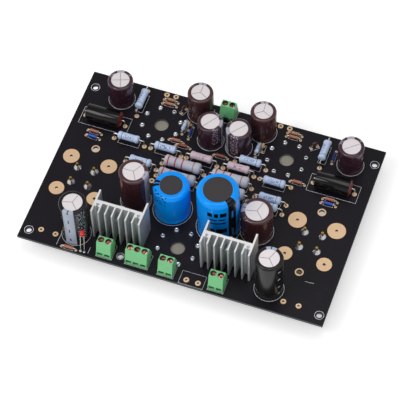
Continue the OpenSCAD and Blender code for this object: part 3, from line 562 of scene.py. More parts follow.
class Frame:
    """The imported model: its nodes, and the solids inside each of them."""

    def __init__(self, loaded: dict[str, Any]) -> None:
        self.nodes: dict[str, bpy.types.Object] = loaded["nodes"]
        self.bodies: dict[str, Any] = loaded["bodies"]

    def merged(self, node: str) -> bmesh.types.BMesh:
        """Return a copy of a node's mesh with its loose triangles joined."""
        mesh = bmesh.new()
        mesh.from_mesh(self.nodes[node].data)
        bmesh.ops.remove_doubles(mesh, verts=mesh.verts, dist=0.002 * MM)
        return mesh

    def islands(self, node: str) -> list[Island]:
        """List the solids of a node from left to right.

        Args:
            node: Name of the CAD node.

        Returns:
            One island for each solid, ordered by X and then by Y.
        """
        mesh = self.merged(node)
        found: list[Island] = []
        seen: set[int] = set()
        mesh.verts.ensure_lookup_table()
        for vertex in mesh.verts:
            if vertex.index in seen:
                continue
            group = [vertex]
            seen.add(vertex.index)
            for one in group:
                for edge in one.link_edges:
                    other = edge.other_vert(one)
                    if other.index not in seen:
                        seen.add(other.index)
                        group.append(other)
            found.append(self.measure(np.array([v.co for v in group])))
        mesh.free()
        return sorted(found, key=lambda i: (round(i.middle.x / (0.1 * MM)), i.middle.y))

    @staticmethod
    def measure(points: np.ndarray) -> Island:
        """Return the box and the turn of a cloud of points."""
        flat = points[:, :2] - points[:, :2].mean(axis=0)
        values, axes = np.linalg.eigh(flat.T @ flat)
        long_axis = axes[:, -1] if axes[0, -1] >= 0 else -axes[:, -1]
        turn = math.atan2(long_axis[1], long_axis[0])
        return Island(Vector(points.min(axis=0)), Vector(points.max(axis=0)), turn)

    def body_of(self, node: str) -> str:
        """Return the body that a node rides on."""
        return self.nodes[node]["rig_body"]

    def dress(self, finish: bpy.types.Material, *nodes: str) -> None:
        """Give CAD nodes a finish.

        Args:
            finish: The material.
            *nodes: Names of the nodes.
        """
        for node in nodes:
            mesh = self.nodes[node].data
            mesh.materials.clear()
            mesh.materials.append(finish)


def piece_from(
    name: str, mesh: bmesh.types.BMesh, finish: bpy.types.Material, sharp: float = 35,
) -> bpy.types.Object:
    """Turn mesh data into a piece with smooth faces and sharp corners.

    Args:
        name: Name of the piece.
        mesh: The mesh data, which is freed.
        finish: Its material.
        sharp: Angle in degrees past which an edge stays sharp.

    Returns:
        The new object, linked to the scene.
    """
    data = bpy.data.meshes.new(name)
    mesh.to_mesh(data)
    mesh.free()
    data.materials.append(finish)
    data.polygons.foreach_set("use_smooth", [True] * len(data.polygons))
    data.set_sharp_from_angle(angle=math.radians(sharp))
    piece = bpy.data.objects.new(name, data)
    bpy.context.scene.collection.objects.link(piece)
    return piece


def settled(piece: bpy.types.Object) -> bpy.types.Object:
    """Turn a piece's modifiers into plain mesh and remove them.

    Args:
        piece: An object with modifiers.

    Returns:
        The same object with the evaluated mesh.
    """
    graph = bpy.context.evaluated_depsgraph_get()
    made = bpy.data.meshes.new_from_object(
        piece.evaluated_get(graph), preserve_all_data_layers=True, depsgraph=graph,
    )
    made.name = piece.name
    piece.modifiers.clear()
    piece.data = made
    return piece


def stand_in(piece: bpy.types.Object, slot: Slot, *nodes: str, body: str = ROOT) -> None:
    """Let a piece ride on its body in the place of CAD nodes, and report it.

    Args:
        piece: The finished piece.
        slot: The record's slot that it is finished from; not used.
        *nodes: CAD nodes that it stands for.
        body: Name of the body.
    """
    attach(piece, body)
    if nodes:
        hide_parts(*nodes)
    stood_for = ", ".join(nodes) or "nothing"
    LOG.info("%s: %d faces, stands for %s", piece.name, len(piece.data.polygons), stood_for)


def lathe(
    mesh: bmesh.types.BMesh, profile: Profile, place: Matrix, sides: int,
    seam: float = 0.0, spread: Optional[Sequence[float]] = None,
) -> None:
    """Spin an outline about Z into closed skin with a wrap-round UV map.

    Args:
        mesh: Mesh data that the skin is added to.
        profile: Radius and height of each point, from the bottom up.
        place: Where the spun shape's own frame lies.
        sides: Number of faces round it.
        seam: Angle in radians that the UV map's middle faces.
        spread: Height that the UV map gives each point, or its own heights if None.
    """
    layer = mesh.loops.layers.uv.get("wrap") or mesh.loops.layers.uv.new("wrap")
    heights = spread or [z for _, z in profile]
    rings: list[list[bmesh.types.BMVert]] = []
    for radius, z in profile:
        count = 1 if radius < 1e-7 else sides
        ring = []
        for i in range(count):
            angle = seam + math.pi + i * math.tau / sides
            point = Vector((radius * math.cos(angle), radius * math.sin(angle), z))
            ring.append(mesh.verts.new(place @ point))
        rings.append(ring)
    for k in range(len(rings) - 1):
        low, high = rings[k], rings[k + 1]
        for i in range(sides):
            j = (i + 1) % sides
            corners = [(low, i, k), (low, j, k), (high, j, k + 1), (high, i, k + 1)]
            used: list[tuple[bmesh.types.BMVert, int, int]] = []
            for ring, at, row in corners:
                vertex = ring[at % len(ring)]
                if all(vertex is not other[0] for other in used):
                    used.append((vertex, i + 1 if at == j else i, row))
            if len(used) < 3:
                continue
            face = mesh.faces.new([u[0] for u in used])
            for loop, (_, column, row) in zip(face.loops, used):
                loop[layer].uv = ((column / sides - 0.5) * math.tau, heights[row])


def arc(cx: float, cz: float, r: float, start: float, end: float, steps: int) -> Profile:
    """Return points on an arc, with its angles in degrees.

    Args:
        cx: Radius of the arc's centre from the axis.
        cz: Height of the arc's centre.
        r: Radius of the arc itself.
        start: First angle.
        end: Last angle.
        steps: Number of stretches.

    Returns:
        The points from start to end.
    """
    angles = [math.radians(start + (end - start) * i / steps) for i in range(steps + 1)]
    return [(cx + r * math.cos(a), cz + r * math.sin(a)) for a in angles]


class RepeatTrees:
    """Geometry node trees for wires, ink lines and whatever is set out at many points."""

    def __init__(self) -> None:
        """Start with no tree built."""
        self.made: dict[str, bpy.types.NodeTree] = {}

    def get(self, name: str) -> bpy.types.NodeTree:
        """Return the named tree, built at its first use."""
        if name not in self.made:
            self.made[name] = getattr(self, name)()
        return self.made[name]

    @staticmethod
    def finish(
        graph: Graph, given: bpy.types.Node, out: bpy.types.Node, shape: bpy.types.NodeSocket,
    ) -> None:
        """End a tree in Realize Instances and Set Material."""
        real = graph.add("GeometryNodeRealizeInstances", {0: shape})
        named = graph.add("GeometryNodeSetMaterial", {0: real.outputs[0], 2: given.outputs["Material"]})
        graph.feed(out.inputs[0], named.outputs[0])

    def bent_wires(self) -> bpy.types.NodeTree:
        """Round wires along paths of edges, with their corners bent.

        Returns:
            The tree.
        """
        graph, given, out = new_group(
            "bent_wires", "GeometryNodeTree",
            [
                ("Geometry", "NodeSocketGeometry"), ("Wire Radius", "NodeSocketFloat", 0.0004),
                ("Bend Radius", "NodeSocketFloat", 0.001), ("Sides", "NodeSocketInt", 10),
                ("Material", "NodeSocketMaterial"),
            ],
            [("Geometry", "NodeSocketGeometry")],
        )
        curve = graph.add("GeometryNodeMeshToCurve", {0: given.outputs[0]})
        bent = graph.add("GeometryNodeFilletCurve", mode="POLY")
        graph.feed(bent.inputs["Curve"], curve.outputs[0])
        graph.feed(bent.inputs["Radius"], given.outputs["Bend Radius"])
        graph.feed(bent.inputs["Limit Radius"], True)
        graph.feed(bent.inputs["Count"], 6)
        ring = graph.add("GeometryNodeCurvePrimitiveCircle", {"Resolution": given.outputs["Sides"]})
        graph.feed(ring.inputs["Radius"], given.outputs["Wire Radius"])
        tube = graph.add("GeometryNodeCurveToMesh", {0: bent.outputs[0], 1: ring.outputs[0]})
        graph.feed(tube.inputs["Fill Caps"], True)
        smooth = graph.add("GeometryNodeSetShadeSmooth", {0: tube.outputs[0]})
        self.finish(graph, given, out, smooth.outputs[0])
        return graph.tree

    def ink_lines(self) -> bpy.types.NodeTree:
        """Flat printed lines along paths of edges.

        Returns:
            The tree.
        """
        graph, given, out = new_group(
            "ink_lines", "GeometryNodeTree",
            [
                ("Geometry", "NodeSocketGeometry"), ("Line Width", "NodeSocketFloat", 0.0002),
                ("Thickness", "NodeSocketFloat", 0.00002), ("Material", "NodeSocketMaterial"),
            ],
            [("Geometry", "NodeSocketGeometry")],
        )
        curve = graph.add("GeometryNodeMeshToCurve", {0: given.outputs[0]})
        band = graph.add("GeometryNodeCurvePrimitiveQuadrilateral", mode="RECTANGLE")
        graph.feed(band.inputs["Width"], given.outputs["Line Width"])
        graph.feed(band.inputs["Height"], given.outputs["Thickness"])
        upright = graph.add("GeometryNodeSetCurveNormal", mode="Z_UP")
        graph.feed(upright.inputs[0], curve.outputs[0])
        strip = graph.add("GeometryNodeCurveToMesh", {0: upright.outputs[0], 1: band.outputs[0]})
        graph.feed(strip.inputs["Fill Caps"], True)
        self.finish(graph, given, out, strip.outputs[0])
        return graph.tree

    def set_out(self) -> bpy.types.NodeTree:
        """Copies of one shape at points, sized by an attribute and tilted a little at random.

        Returns:
            The tree.
        """
        graph, given, out = new_group(
            "set_out", "GeometryNodeTree",
            [
                ("Geometry", "NodeSocketGeometry"), ("Shape", "NodeSocketObject"),
                ("Tilt", "NodeSocketFloat", 0.0), ("Uneven", "NodeSocketFloat", 0.0),
                ("Seed", "NodeSocketInt", 7), ("Material", "NodeSocketMaterial"),
            ],
            [("Geometry", "NodeSocketGeometry")],
        )
        shape = graph.add("GeometryNodeObjectInfo", {0: given.outputs["Shape"]}, transform_space="ORIGINAL")
        size = graph.add("GeometryNodeInputNamedAttribute", {0: "size"}, data_type="FLOAT_VECTOR")
        tilt = graph.add("FunctionNodeRandomValue", data_type="FLOAT_VECTOR")
        most = given.outputs["Tilt"]
        both = graph.add("ShaderNodeCombineXYZ", {0: most, 1: most, 2: math.pi})
        less = graph.add(
            "ShaderNodeVectorMath", {0: both.outputs[0], 1: (-1.0, -1.0, -1.0)}, operation="MULTIPLY",
        )
        graph.feed(tilt.inputs[0], less.outputs[0])
        graph.feed(tilt.inputs[1], both.outputs[0])
        graph.feed(tilt.inputs["Seed"], given.outputs["Seed"])
        bulge = graph.add("FunctionNodeRandomValue", data_type="FLOAT")
        graph.feed(bulge.inputs[2], graph.math("SUBTRACT", 1.0, given.outputs["Uneven"]))
        graph.feed(bulge.inputs[3], graph.math("ADD", 1.0, given.outputs["Uneven"]))
        graph.feed(bulge.inputs["Seed"], given.outputs["Seed"])
        scaled = graph.add("ShaderNodeVectorMath", {0: size.outputs[0]}, operation="SCALE")
        graph.feed(scaled.inputs["Scale"], bulge.outputs[1])
        turn = graph.add("FunctionNodeEulerToRotation", {0: tilt.outputs[0]})
        points = graph.add("GeometryNodeMeshToPoints", {0: given.outputs[0]})
        copies = graph.add("GeometryNodeInstanceOnPoints", {
            0: points.outputs[0], 2: shape.outputs["Geometry"],
        })
        graph.feed(copies.inputs["Rotation"], turn.outputs[0])
        graph.feed(copies.inputs["Scale"], scaled.outputs[0])
        self.finish(graph, given, out, copies.outputs[0])
        return graph.tree


TREES = RepeatTrees()


def repeated(
    name: str, points: Sequence[Point], edges: Sequence[tuple[int, int]], tree: bpy.types.NodeTree,
    values: dict[str, Any], sizes: Optional[Sequence[Point]] = None,
) -> bpy.types.Object:
    """Run a geometry node tree on points and edges and keep the plain mesh.

    Args:
        name: Name of the piece.
        points: Points in the frame.
        edges: Pairs of point numbers.
        tree: The tree to run.
        values: A value for each of the tree's named inputs.
        sizes: Size along each axis of the copy at each point, where the tree sets out copies.

    Returns:
        The piece, with no modifier left on it.
    """
    data = bpy.data.meshes.new(name)
    data.from_pydata(points, edges, [])
    if sizes is not None:
        size = data.attributes.new("size", "FLOAT_VECTOR", "POINT")
        size.data.foreach_set("vector", [value for row in sizes for value in row])
    piece = bpy.data.objects.new(name, data)
    bpy.context.scene.collection.objects.link(piece)
    modifier = piece.modifiers.new(name, "NODES")
    modifier.node_group = tree
    for item in tree.interface.items_tree:
        if item.item_type == "SOCKET" and item.in_out == "INPUT" and item.name in values:
            modifier[item.identifier] = values[item.name]
    return settled(piece)


@dataclass
class WirePaths:
    """Paths of bare wire that one tree turns into round wire."""

    points: list[Point] = field(default_factory=list)
    edges: list[tuple[int, int]] = field(default_factory=list)

    def run(self, path: Iterable[Sequence[float]], closed: bool = False) -> None:
        """Add one path.

        Args:
            path: Points along the path.
            closed: Whether the last point is joined to the first.
        """
        start = len(self.points)
        self.points.extend(tuple(p) for p in path)
        last = len(self.points) - 1
        self.edges.extend((i, i + 1) for i in range(start, last))
        if closed:
            self.edges.append((last, start))


@dataclass
class Studio:
    """White floor and surroundings, soft lamps, and the camera at the photograph's angle."""

    target: Point = (-0.55 * MM, -5.67 * MM, 17 * MM)
    distance: float = 1.338
    elevation: float = 57.35
    swing: float = 21.62
    roll: float = -2.44
    lens: float = 180.2
    floor_size: float = 8.0
    floor_drop: float = 0.2 * MM
    horizon_strength: float = 0.8
    zenith_strength: float = 0.34
    floor_white: float = 0.85
    floor_glow: float = 0.4

    def camera(self) -> None:
        """Create the camera and make it the scene's own."""
        data = bpy.data.cameras.new("camera")
        data.lens = self.lens
        data.clip_end = 20.0
        camera = bpy.data.objects.new("camera", data)
        bpy.context.scene.collection.objects.link(camera)
        swing = Matrix.Rotation(math.radians(self.swing), 4, "Z")
        tilt = Matrix.Rotation(math.radians(90 - self.elevation), 4, "X")
        roll = Matrix.Rotation(math.radians(self.roll), 4, "Z")
        back = Matrix.Translation((0, 0, self.distance))
        camera.matrix_world = Matrix.Translation(self.target) @ swing @ tilt @ roll @ back
        bpy.context.scene.camera = camera

    def world(self) -> None:
        """Light from all sides, brightest round the horizon and white to the camera."""
        world = bpy.data.worlds.new("surroundings")
        bpy.context.scene.world = world
        world.use_nodes = True
        graph = Graph(world.node_tree)
        shader = world.node_tree.nodes["Background"]
        shader.inputs["Color"].default_value = (1.0, 1.0, 1.0, 1.0)
        way = graph.add("ShaderNodeTexCoord").outputs["Generated"]
        height = graph.add("ShaderNodeSeparateXYZ", {0: way}).outputs["Z"]
        climb = graph.ramp(height, 0.25, 0.8)
        falling = graph.math("MULTIPLY", climb, self.zenith_strength - self.horizon_strength)
        light = graph.math("ADD", falling, self.horizon_strength)
        path = graph.add("ShaderNodeLightPath")
        seen = graph.math("MAXIMUM", path.outputs["Is Camera Ray"], path.outputs["Is Transmission Ray"])
        strength = graph.add("ShaderNodeMix", {0: seen, 2: light, 3: 1.0}, data_type="FLOAT")
        graph.feed(shader.inputs["Strength"], strength.outputs[0])

    def floor(self) -> None:
        """Lay a white floor just under the part, which keeps its soft shadow and is clear from below."""
        mesh = bmesh.new()
        place = Matrix.Translation((0, 0, -self.floor_drop))
        bmesh.ops.create_grid(mesh, x_segments=1, y_segments=1, size=self.floor_size / 2, matrix=place)
        material = bpy.data.materials.new("white_floor")
        material.use_nodes = True
        graph = Graph(material.node_tree)
        shader = material.node_tree.nodes["Principled BSDF"]
        shader.inputs["Base Color"].default_value = (self.floor_white,) * 3 + (1.0,)
        shader.inputs["Roughness"].default_value = 1.0
        shader.inputs["Specular IOR Level"].default_value = 0.0
        shader.inputs["Emission Color"].default_value = (1.0, 1.0, 1.0, 1.0)
        path = graph.add("ShaderNodeLightPath")
        glow = graph.math("MULTIPLY", path.outputs["Is Camera Ray"], self.floor_glow)
        mirrored = graph.math("MULTIPLY", path.outputs["Is Glossy Ray"], self.floor_glow / 2)
        graph.feed(shader.inputs["Emission Strength"], graph.math("ADD", glow, mirrored))
        under = graph.add("ShaderNodeNewGeometry").outputs["Backfacing"]
        clear = graph.add("ShaderNodeBsdfTransparent")
        both = graph.add("ShaderNodeMixShader", {0: under, 1: shader.outputs[0], 2: clear.outputs[0]})
        graph.feed(material.node_tree.nodes["Material Output"].inputs["Surface"], both.outputs[0])
        piece_from("floor", mesh, material)

    def lamp(self, name: str, place: Point, size: float, power: float) -> None:
        """Add a soft square lamp that faces the middle of the board."""
        data = bpy.data.lights.new(name, "AREA")
        data.size = size
        data.energy = power
        lamp = bpy.data.objects.new(name, data)
        bpy.context.scene.collection.objects.link(lamp)
        direction = Vector(self.target) - Vector(place)
        turn = direction.to_track_quat("-Z", "Y").to_matrix().to_4x4()
        lamp.matrix_world = Matrix.Translation(place) @ turn

    def build(self) -> None:
        """Set up the view, the camera, the floor and the light."""
        bpy.context.scene.view_settings.view_transform = "Standard"
        self.camera()
        self.world()
        self.floor()
        self.lamp("key_lamp", (-0.55, -0.6, 1.1), 0.6, 5.5)
        self.lamp("top_lamp", (0.1, 0.12, 1.35), 0.8, 4.5)


@dataclass(frozen=True)
class SleeveKind:
    """Capacitors whose sleeves look alike, picked from a node by their order from the left."""

    name: str
    node: str
    picks: tuple[int, ...]
    seams: tuple[float, ...]
    slot: Slot
    finish: SleeveFinish
    shoulder_share: float = 0.075
    open_share: float = 0.36


@dataclass
class Sleeves:
    """Printed shrink sleeves of the capacitors, spun along their cans."""

    frame: Frame
    wall: float = 0.25 * MM
    bead_z: float = 3 * MM
    bead_w: float = 1.6 * MM
    bead_depth: float = 0.45 * MM
    facing: float = -68.4
    sides: int = 72

    def outline(self, radius: float, height: float, kind: SleeveKind) -> tuple[Profile, list[float]]:
        """Outline of a sleeve, up the outside, over the lip and down the inside.

        Args:
            radius: Outer radius.
            height: Height over the lip.
            kind: Its shoulder and its opening.

        Returns:
            The closed outline, and the height that the print has at each point.
        """
        shoulder = 2 * radius * kind.shoulder_share
        opening = 2 * radius * kind.open_share
        half = self.bead_w / 2
        outer = [(radius, 0.0), (radius, self.bead_z - half * 1.3)]
        for k in range(1, 8):
            share = k / 8
            dip = self.bead_depth * math.sin(math.pi * share) ** 2
            outer.append((radius - dip, self.bead_z + half * 1.3 * (2 * share - 1)))
        outer.append((radius, self.bead_z + half * 1.3))
        outer += arc(radius - shoulder, height - shoulder, shoulder, 0, 90, 10)
        outer.append((opening + self.wall, height))
        outer += arc(opening + self.wall * 0.6, height - self.wall * 0.6, self.wall * 0.6, 90, 180, 3)[1:]
        inner = [(opening, height - self.wall)]
        inner += arc(radius - shoulder, height - shoulder, shoulder - self.wall, 90, 0, 8)
        inner += [(radius - self.wall, self.bead_z + half), (radius - self.wall, 0.0)]
        heights = []
        run = 0.0
        for i, (x, z) in enumerate(outer):
            if i:
                run += math.hypot(x - outer[i - 1][0], z - outer[i - 1][1])
            heights.append(run)
        return outer + inner + [outer[0]], heights + [run] * len(inner) + [run]

    def make(self, kind: SleeveKind) -> None:
        """Make all sleeves of one kind, each stripe turned to its side.

        Args:
            kind: What the sleeves look like; its seams are degrees to the right of the camera's side.
        """
        mesh = bmesh.new()
        islands = self.frame.islands(kind.node)
        for pick, seam in zip(kind.picks, kind.seams, strict=True):
            island = islands[pick]
            profile, heights = self.outline(island.size.x / 2, island.size.z, kind)
            place = Matrix.Translation((island.middle.x, island.middle.y, island.low.z))
            lathe(mesh, profile, place, self.sides, math.radians(self.facing + seam), heights)
        bmesh.ops.remove_doubles(mesh, verts=mesh.verts, dist=1e-7)
        bmesh.ops.recalc_face_normals(mesh, faces=mesh.faces)
        stand_in(piece_from(kind.name, mesh, kind.finish.build(), 30), kind.slot, kind.node)

    def kinds(self) -> list[SleeveKind]:
        """Return every kind of sleeve on the board."""
        purple = SleeveFinish(
            "purple_sleeve_print", srgb("#3a1f2c"), roughness=0.22, specular=0.5, coat=0.3, variation=0.12,
            relief=0.04, stripe_colour=srgb("#aaa6b6"), dash_colour=srgb("#5c5566"),
            print_colour=srgb("#a89fae"), prints=((0.6, 1.3, 5 * MM, 34 * MM), (-1.2, -0.7, 6 * MM, 34 * MM)),
        )
        brown = SleeveFinish(
            "brown_sleeve_print", srgb("#46262a"), roughness=0.24, specular=0.5, coat=0.3, variation=0.12,
            relief=0.04, stripe_colour=srgb("#aaa6b6"), dash_colour=srgb("#5c5566"),
            print_colour=srgb("#a08c94"), prints=((0.8, 1.2, 24 * MM, 40 * MM),),
        )
        blue = SleeveFinish(
            "blue_sleeve_marks", srgb("#0098ff"), roughness=0.2, specular=0.18, coat=0.1, variation=0.08,
            relief=0.04, stripe_colour=srgb("#101216"), dash_colour=srgb("#2f86e0"),
            print_colour=srgb("#0d1117"), stripe_half=0.24, dash_pace=21 * MM,
            prints=((0.5, 1.5, 20 * MM, 30 * MM),),
        )
        tall_blue = replace(
            blue, name="tall_blue_sleeve_print", stripe_half=0.23, prints=(),
            bars=(
                (-1.24, -1.0, 32 * MM, 36.5 * MM), (-0.92, -0.72, 32 * MM, 36.5 * MM),
                (-0.64, -0.32, 32 * MM, 36.5 * MM), (-1.16, -0.78, 28 * MM, 29.6 * MM),
                (-0.72, -0.4, 28 * MM, 29.6 * MM), (-1.2, -0.36, 24 * MM, 25.4 * MM),
                (-1.24, -0.9, 13 * MM, 18 * MM), (-0.84, -0.32, 13 * MM, 18 * MM),
            ),
        )
        black = SleeveFinish(
            "black_sleeve_print", srgb("#161516"), roughness=0.24, specular=0.3, coat=0.1, variation=0.15,
            relief=0.04, stripe_colour=srgb("#aab4c6"), dash_colour=srgb("#33353f"),
            print_colour=srgb("#97a3b2"), stripe_half=0.44, prints=((0.6, 1.35, 3 * MM, 37 * MM),),
        )
        dash_feet = (5 * MM, 13 * MM, 22 * MM, 31 * MM)
        dashed = replace(
            black, name="black_sleeve_dashes", print_colour=srgb("#a9b2be"), prints=(),
            bars=tuple((-2.3, -2.08, z, z + 1.3 * MM) for z in dash_feet),
        )
        return [
            SleeveKind(
                "purple_sleeves_printed", "brown_sleeves", (0, 3, 4, 7), (175.0, 75.0, -80.0, 180.0),
                Slot.BROWN_SLEEVE, purple,
            ),
            SleeveKind(
                "brown_sleeves_printed", "brown_sleeves", (1, 2, 5, 6), (65.0, 165.0, 170.0, -110.0),
                Slot.BROWN_SLEEVE, brown,
            ),
            SleeveKind(
                "blue_sleeve_marked", "blue_sleeves", (0,), (-104.0,),
                Slot.BLUE_SLEEVE, blue, shoulder_share=0.12, open_share=0.315,
            ),
            SleeveKind(
                "blue_sleeve_printed", "blue_sleeves", (1,), (39.0,),
                Slot.BLUE_SLEEVE, tall_blue, shoulder_share=0.12, open_share=0.35,
            ),
            SleeveKind("black_sleeve_printed", "black_sleeves", (0,), (-22.0,), Slot.BLACK_SLEEVE, black),
            SleeveKind("black_sleeve_dashed", "black_sleeves", (1,), (166.0,), Slot.BLACK_SLEEVE, dashed),
        ]

    def build(self) -> None:
        """Make the sleeves of every kind."""
        for kind in self.kinds():
            self.make(kind)


@dataclass(frozen=True)
class LyingKind:
    """Sizes of one kind of part that lies between two bent wires."""

    d: float
    length: float
    pitch: float
    wire_d: float


@dataclass
class WireStock:
    """Paths of bare wire gathered from all parts, one list for each thickness."""

    material: bpy.types.Material
    foot: float = 0.6 * MM
    tail: float = 1.8 * MM
    paths: dict[float, WirePaths] = field(default_factory=dict)

    def of(self, wire_d: float) -> WirePaths:
        """Return the paths of one thickness of wire."""
        return self.paths.setdefault(wire_d, WirePaths())

    def over(self, island: Island, centre: Vector, feet: Vector, kind: LyingKind, board_top: float) -> None:
        """Lead one wire up through the board, along a part's axis and down again.

        Args:
            island: The part's solid.
            centre: Middle of the part's body.
            feet: Middle between its two holes.
            kind: Sizes of the part.
            board_top: Height of the board's top face.
        """
        along = Vector((math.cos(island.turn), math.sin(island.turn), 0)) * kind.pitch / 2
        path = []
        for side in (-1, 1):
            foot = feet + along * side
            rise = [
                Vector((foot.x, foot.y, island.low.z)), Vector((foot.x, foot.y, board_top + self.foot)),
                centre + along * side,
            ]
            path += rise if side < 0 else list(reversed(rise))
        self.of(kind.wire_d).run(path)

    def build(self) -> None:
        """Turn the gathered paths into round wire."""
        for d, paths in self.paths.items():
            name = f"wires_{round(d / MM * 100):03d}"
            piece = repeated(name, paths.points, paths.edges, TREES.get("bent_wires"), {
                "Wire Radius": d / 2, "Bend Radius": 1.4 * d, "Sides": 12, "Material": self.material,
            })
            stand_in(piece, Slot.WIRE)


@dataclass
class Resistors:
    """Coated resistors: lathed bodies with pressed caps and bands."""

    frame: Frame
    wires: WireStock
    board_top: float
    power: LyingKind = LyingKind(5.5 * MM, 15 * MM, 22 * MM, 0.8 * MM)
    standing: LyingKind = LyingKind(3 * MM, 7.6 * MM, 11.4 * MM, 0.56 * MM)
    grey: LyingKind = LyingKind(7.8 * MM, 25.5 * MM, 30 * MM, 0.8 * MM)
    little: LyingKind = LyingKind(2.3 * MM, 6.3 * MM, 10.16 * MM, 0.56 * MM)
    cap_share: float = 0.17
    waist_share: float = 0.9
    sides: int = 40
    ring_left: tuple[int, ...] = (1, 3)
    small_coats: tuple[SmallCoat, ...] = (
        SmallCoat.COPPER, SmallCoat.BLUE, SmallCoat.COPPER, SmallCoat.COPPER, SmallCoat.BANDED,
        SmallCoat.COPPER, SmallCoat.BROWN, SmallCoat.DARK_BLUE, SmallCoat.BROWN, SmallCoat.COPPER,
        SmallCoat.BANDED, SmallCoat.COPPER, SmallCoat.DARK_BLUE, SmallCoat.BLUE, SmallCoat.COPPER,
    )

    def outline(self, kind: LyingKind) -> Profile:
        """Outline of a dipped body: soft ends, pressed caps and a narrower waist."""
        r = kind.d / 2
        length = kind.length
        waist = r * self.waist_share
        cap = length * self.cap_share
        soft = r * 0.42
        points = [(0.0, 0.0)]
        points += arc(r - soft, soft, soft, -90, 0, 6)
        points += [(r, cap * 0.75), (waist + (r - waist) * 0.3, cap), (waist, cap * 1.25)]
        points += [
            (waist, length - cap * 1.25), (waist + (r - waist) * 0.3, length - cap), (r, length - cap * 0.75),
        ]
        points += arc(r - soft, length - soft, soft, 0, 90, 6)
        points.append((0.0, length))
        return points

    def add_body(self, mesh: bmesh.types.BMesh, island: Island, kind: LyingKind, swap: bool) -> None:
        """Add one resistor's body, and lead its wire.

        Args:
            mesh: Mesh data of the bodies.
            island: The resistor's solid.
            kind: Its sizes.
            swap: Whether its bands start from the right.
        """
        centre = Vector((island.middle.x, island.middle.y, island.high.z - kind.d / 2))
        feet = centre.copy()
        if kind is self.power and kind.d * 1.02 < island.size.y < kind.length:
            centre.y = island.low.y + kind.d / 2
            feet.y = island.high.y - kind.wire_d / 2
        along = Vector((math.cos(island.turn), math.sin(island.turn), 0))
        turn = Matrix.Rotation(island.turn, 4, "Z") @ Matrix.Rotation(math.pi / 2, 4, "Y")
        profile = self.outline(kind)
        place = Matrix.Translation(centre - along * kind.length / 2) @ turn
        shares = [z / kind.length for _, z in profile]
        lathe(mesh, profile, place, self.sides, 0.0, [1 - v if swap else v for v in shares])
        self.wires.over(island, centre, feet, kind, self.board_top)

    def family(
        self, name: str, node: str, slot: Slot, finish: Finish,
        chosen: Sequence[Island], pick: Callable[[Island], LyingKind],
    ) -> None:
        """Make the bodies of one coating.

        Args:
            name: Name of the piece.
            node: CAD node that they stand for.
            slot: Their material slot.
            finish: Their finish.
            chosen: Solids of the resistors.
            pick: Gives the sizes that belong to a solid.
        """
        mesh = bmesh.new()
        for i, island in enumerate(chosen):
            swap = slot is Slot.BLUE_COAT and i in self.ring_left
            self.add_body(mesh, island, pick(island), swap)
        bmesh.ops.recalc_face_normals(mesh, faces=mesh.faces)
        stand_in(piece_from(name, mesh, finish.build(), 40), slot, node)

    def blue_kind(self, island: Island) -> LyingKind:
        """Tell a power resistor from a standing one by its length."""
        longest = max(island.size.x, island.size.y)
        return self.power if longest > self.standing.pitch * 1.5 else self.standing

    def build(self) -> None:
        """Make all resistors and gather their wires."""
        dark = srgb("#5d6878")
        red = srgb("#b52a3c")
        gold = srgb("#94703f")
        blue = BandFinish(
            "blue_coating", srgb("#bfd0ee"), roughness=0.4, variation=0.2, cloud_scale=500.0,
            bands=((0.79, 0.815, dark),), print_colour=srgb("#3f4e78"),
        )
        pink = BandFinish(
            "pink_coating", srgb("#d2bac2"), roughness=0.5, variation=0.2, cloud_scale=500.0,
            print_colour=srgb("#5f4a50"),
        )
        grey = BandFinish("grey_coating", srgb("#bdbcc6"), roughness=0.5, variation=0.12, bands=(
            (0.10, 0.135, red), (0.295, 0.33, red), (0.49, 0.525, red), (0.80, 0.825, gold),
        ))
        for name, slot, finish, pick in (
            ("blue", Slot.BLUE_COAT, blue, self.blue_kind),
            ("pink", Slot.PINK_COAT, pink, lambda _: self.power),
            ("grey", Slot.GREY_COAT, grey, lambda _: self.grey),
        ):
            node = f"{name}_resistors"
            self.family(f"{name}_resistor_bodies", node, slot, finish, self.frame.islands(node), pick)
        self.small()

    def small(self) -> None:
        """Make the small resistors, one piece for each coating."""
        red = srgb("#b83434")
        orange = srgb("#c87a30")
        green = srgb("#3f8a5a")
        finishes = {
            SmallCoat.COPPER: BandFinish("copper_coating", srgb("#ab6b54"), roughness=0.4, variation=0.3),
            SmallCoat.BLUE: BandFinish("small_blue_coating", srgb("#2750b2"), roughness=0.4),
            SmallCoat.DARK_BLUE: BandFinish("dark_blue_coating", srgb("#182a6e"), roughness=0.35),
            SmallCoat.BROWN: BandFinish("brown_coating", srgb("#8a4a3c"), roughness=0.45),
            SmallCoat.BANDED: BandFinish("banded_coating", srgb("#a08f70"), roughness=0.45, bands=(
                (0.08, 0.2, red), (0.32, 0.42, orange), (0.52, 0.62, green), (0.78, 0.9, red),
            )),
        }
        islands = self.frame.islands("small_resistors")
        for coat, finish in finishes.items():
            chosen = [i for i, c in zip(islands, self.small_coats, strict=True) if c is coat]
            self.family(
                f"small_{coat.value}_bodies", "small_resistors", Slot.COPPER_COAT, finish,
                chosen, lambda _: self.little,
            )


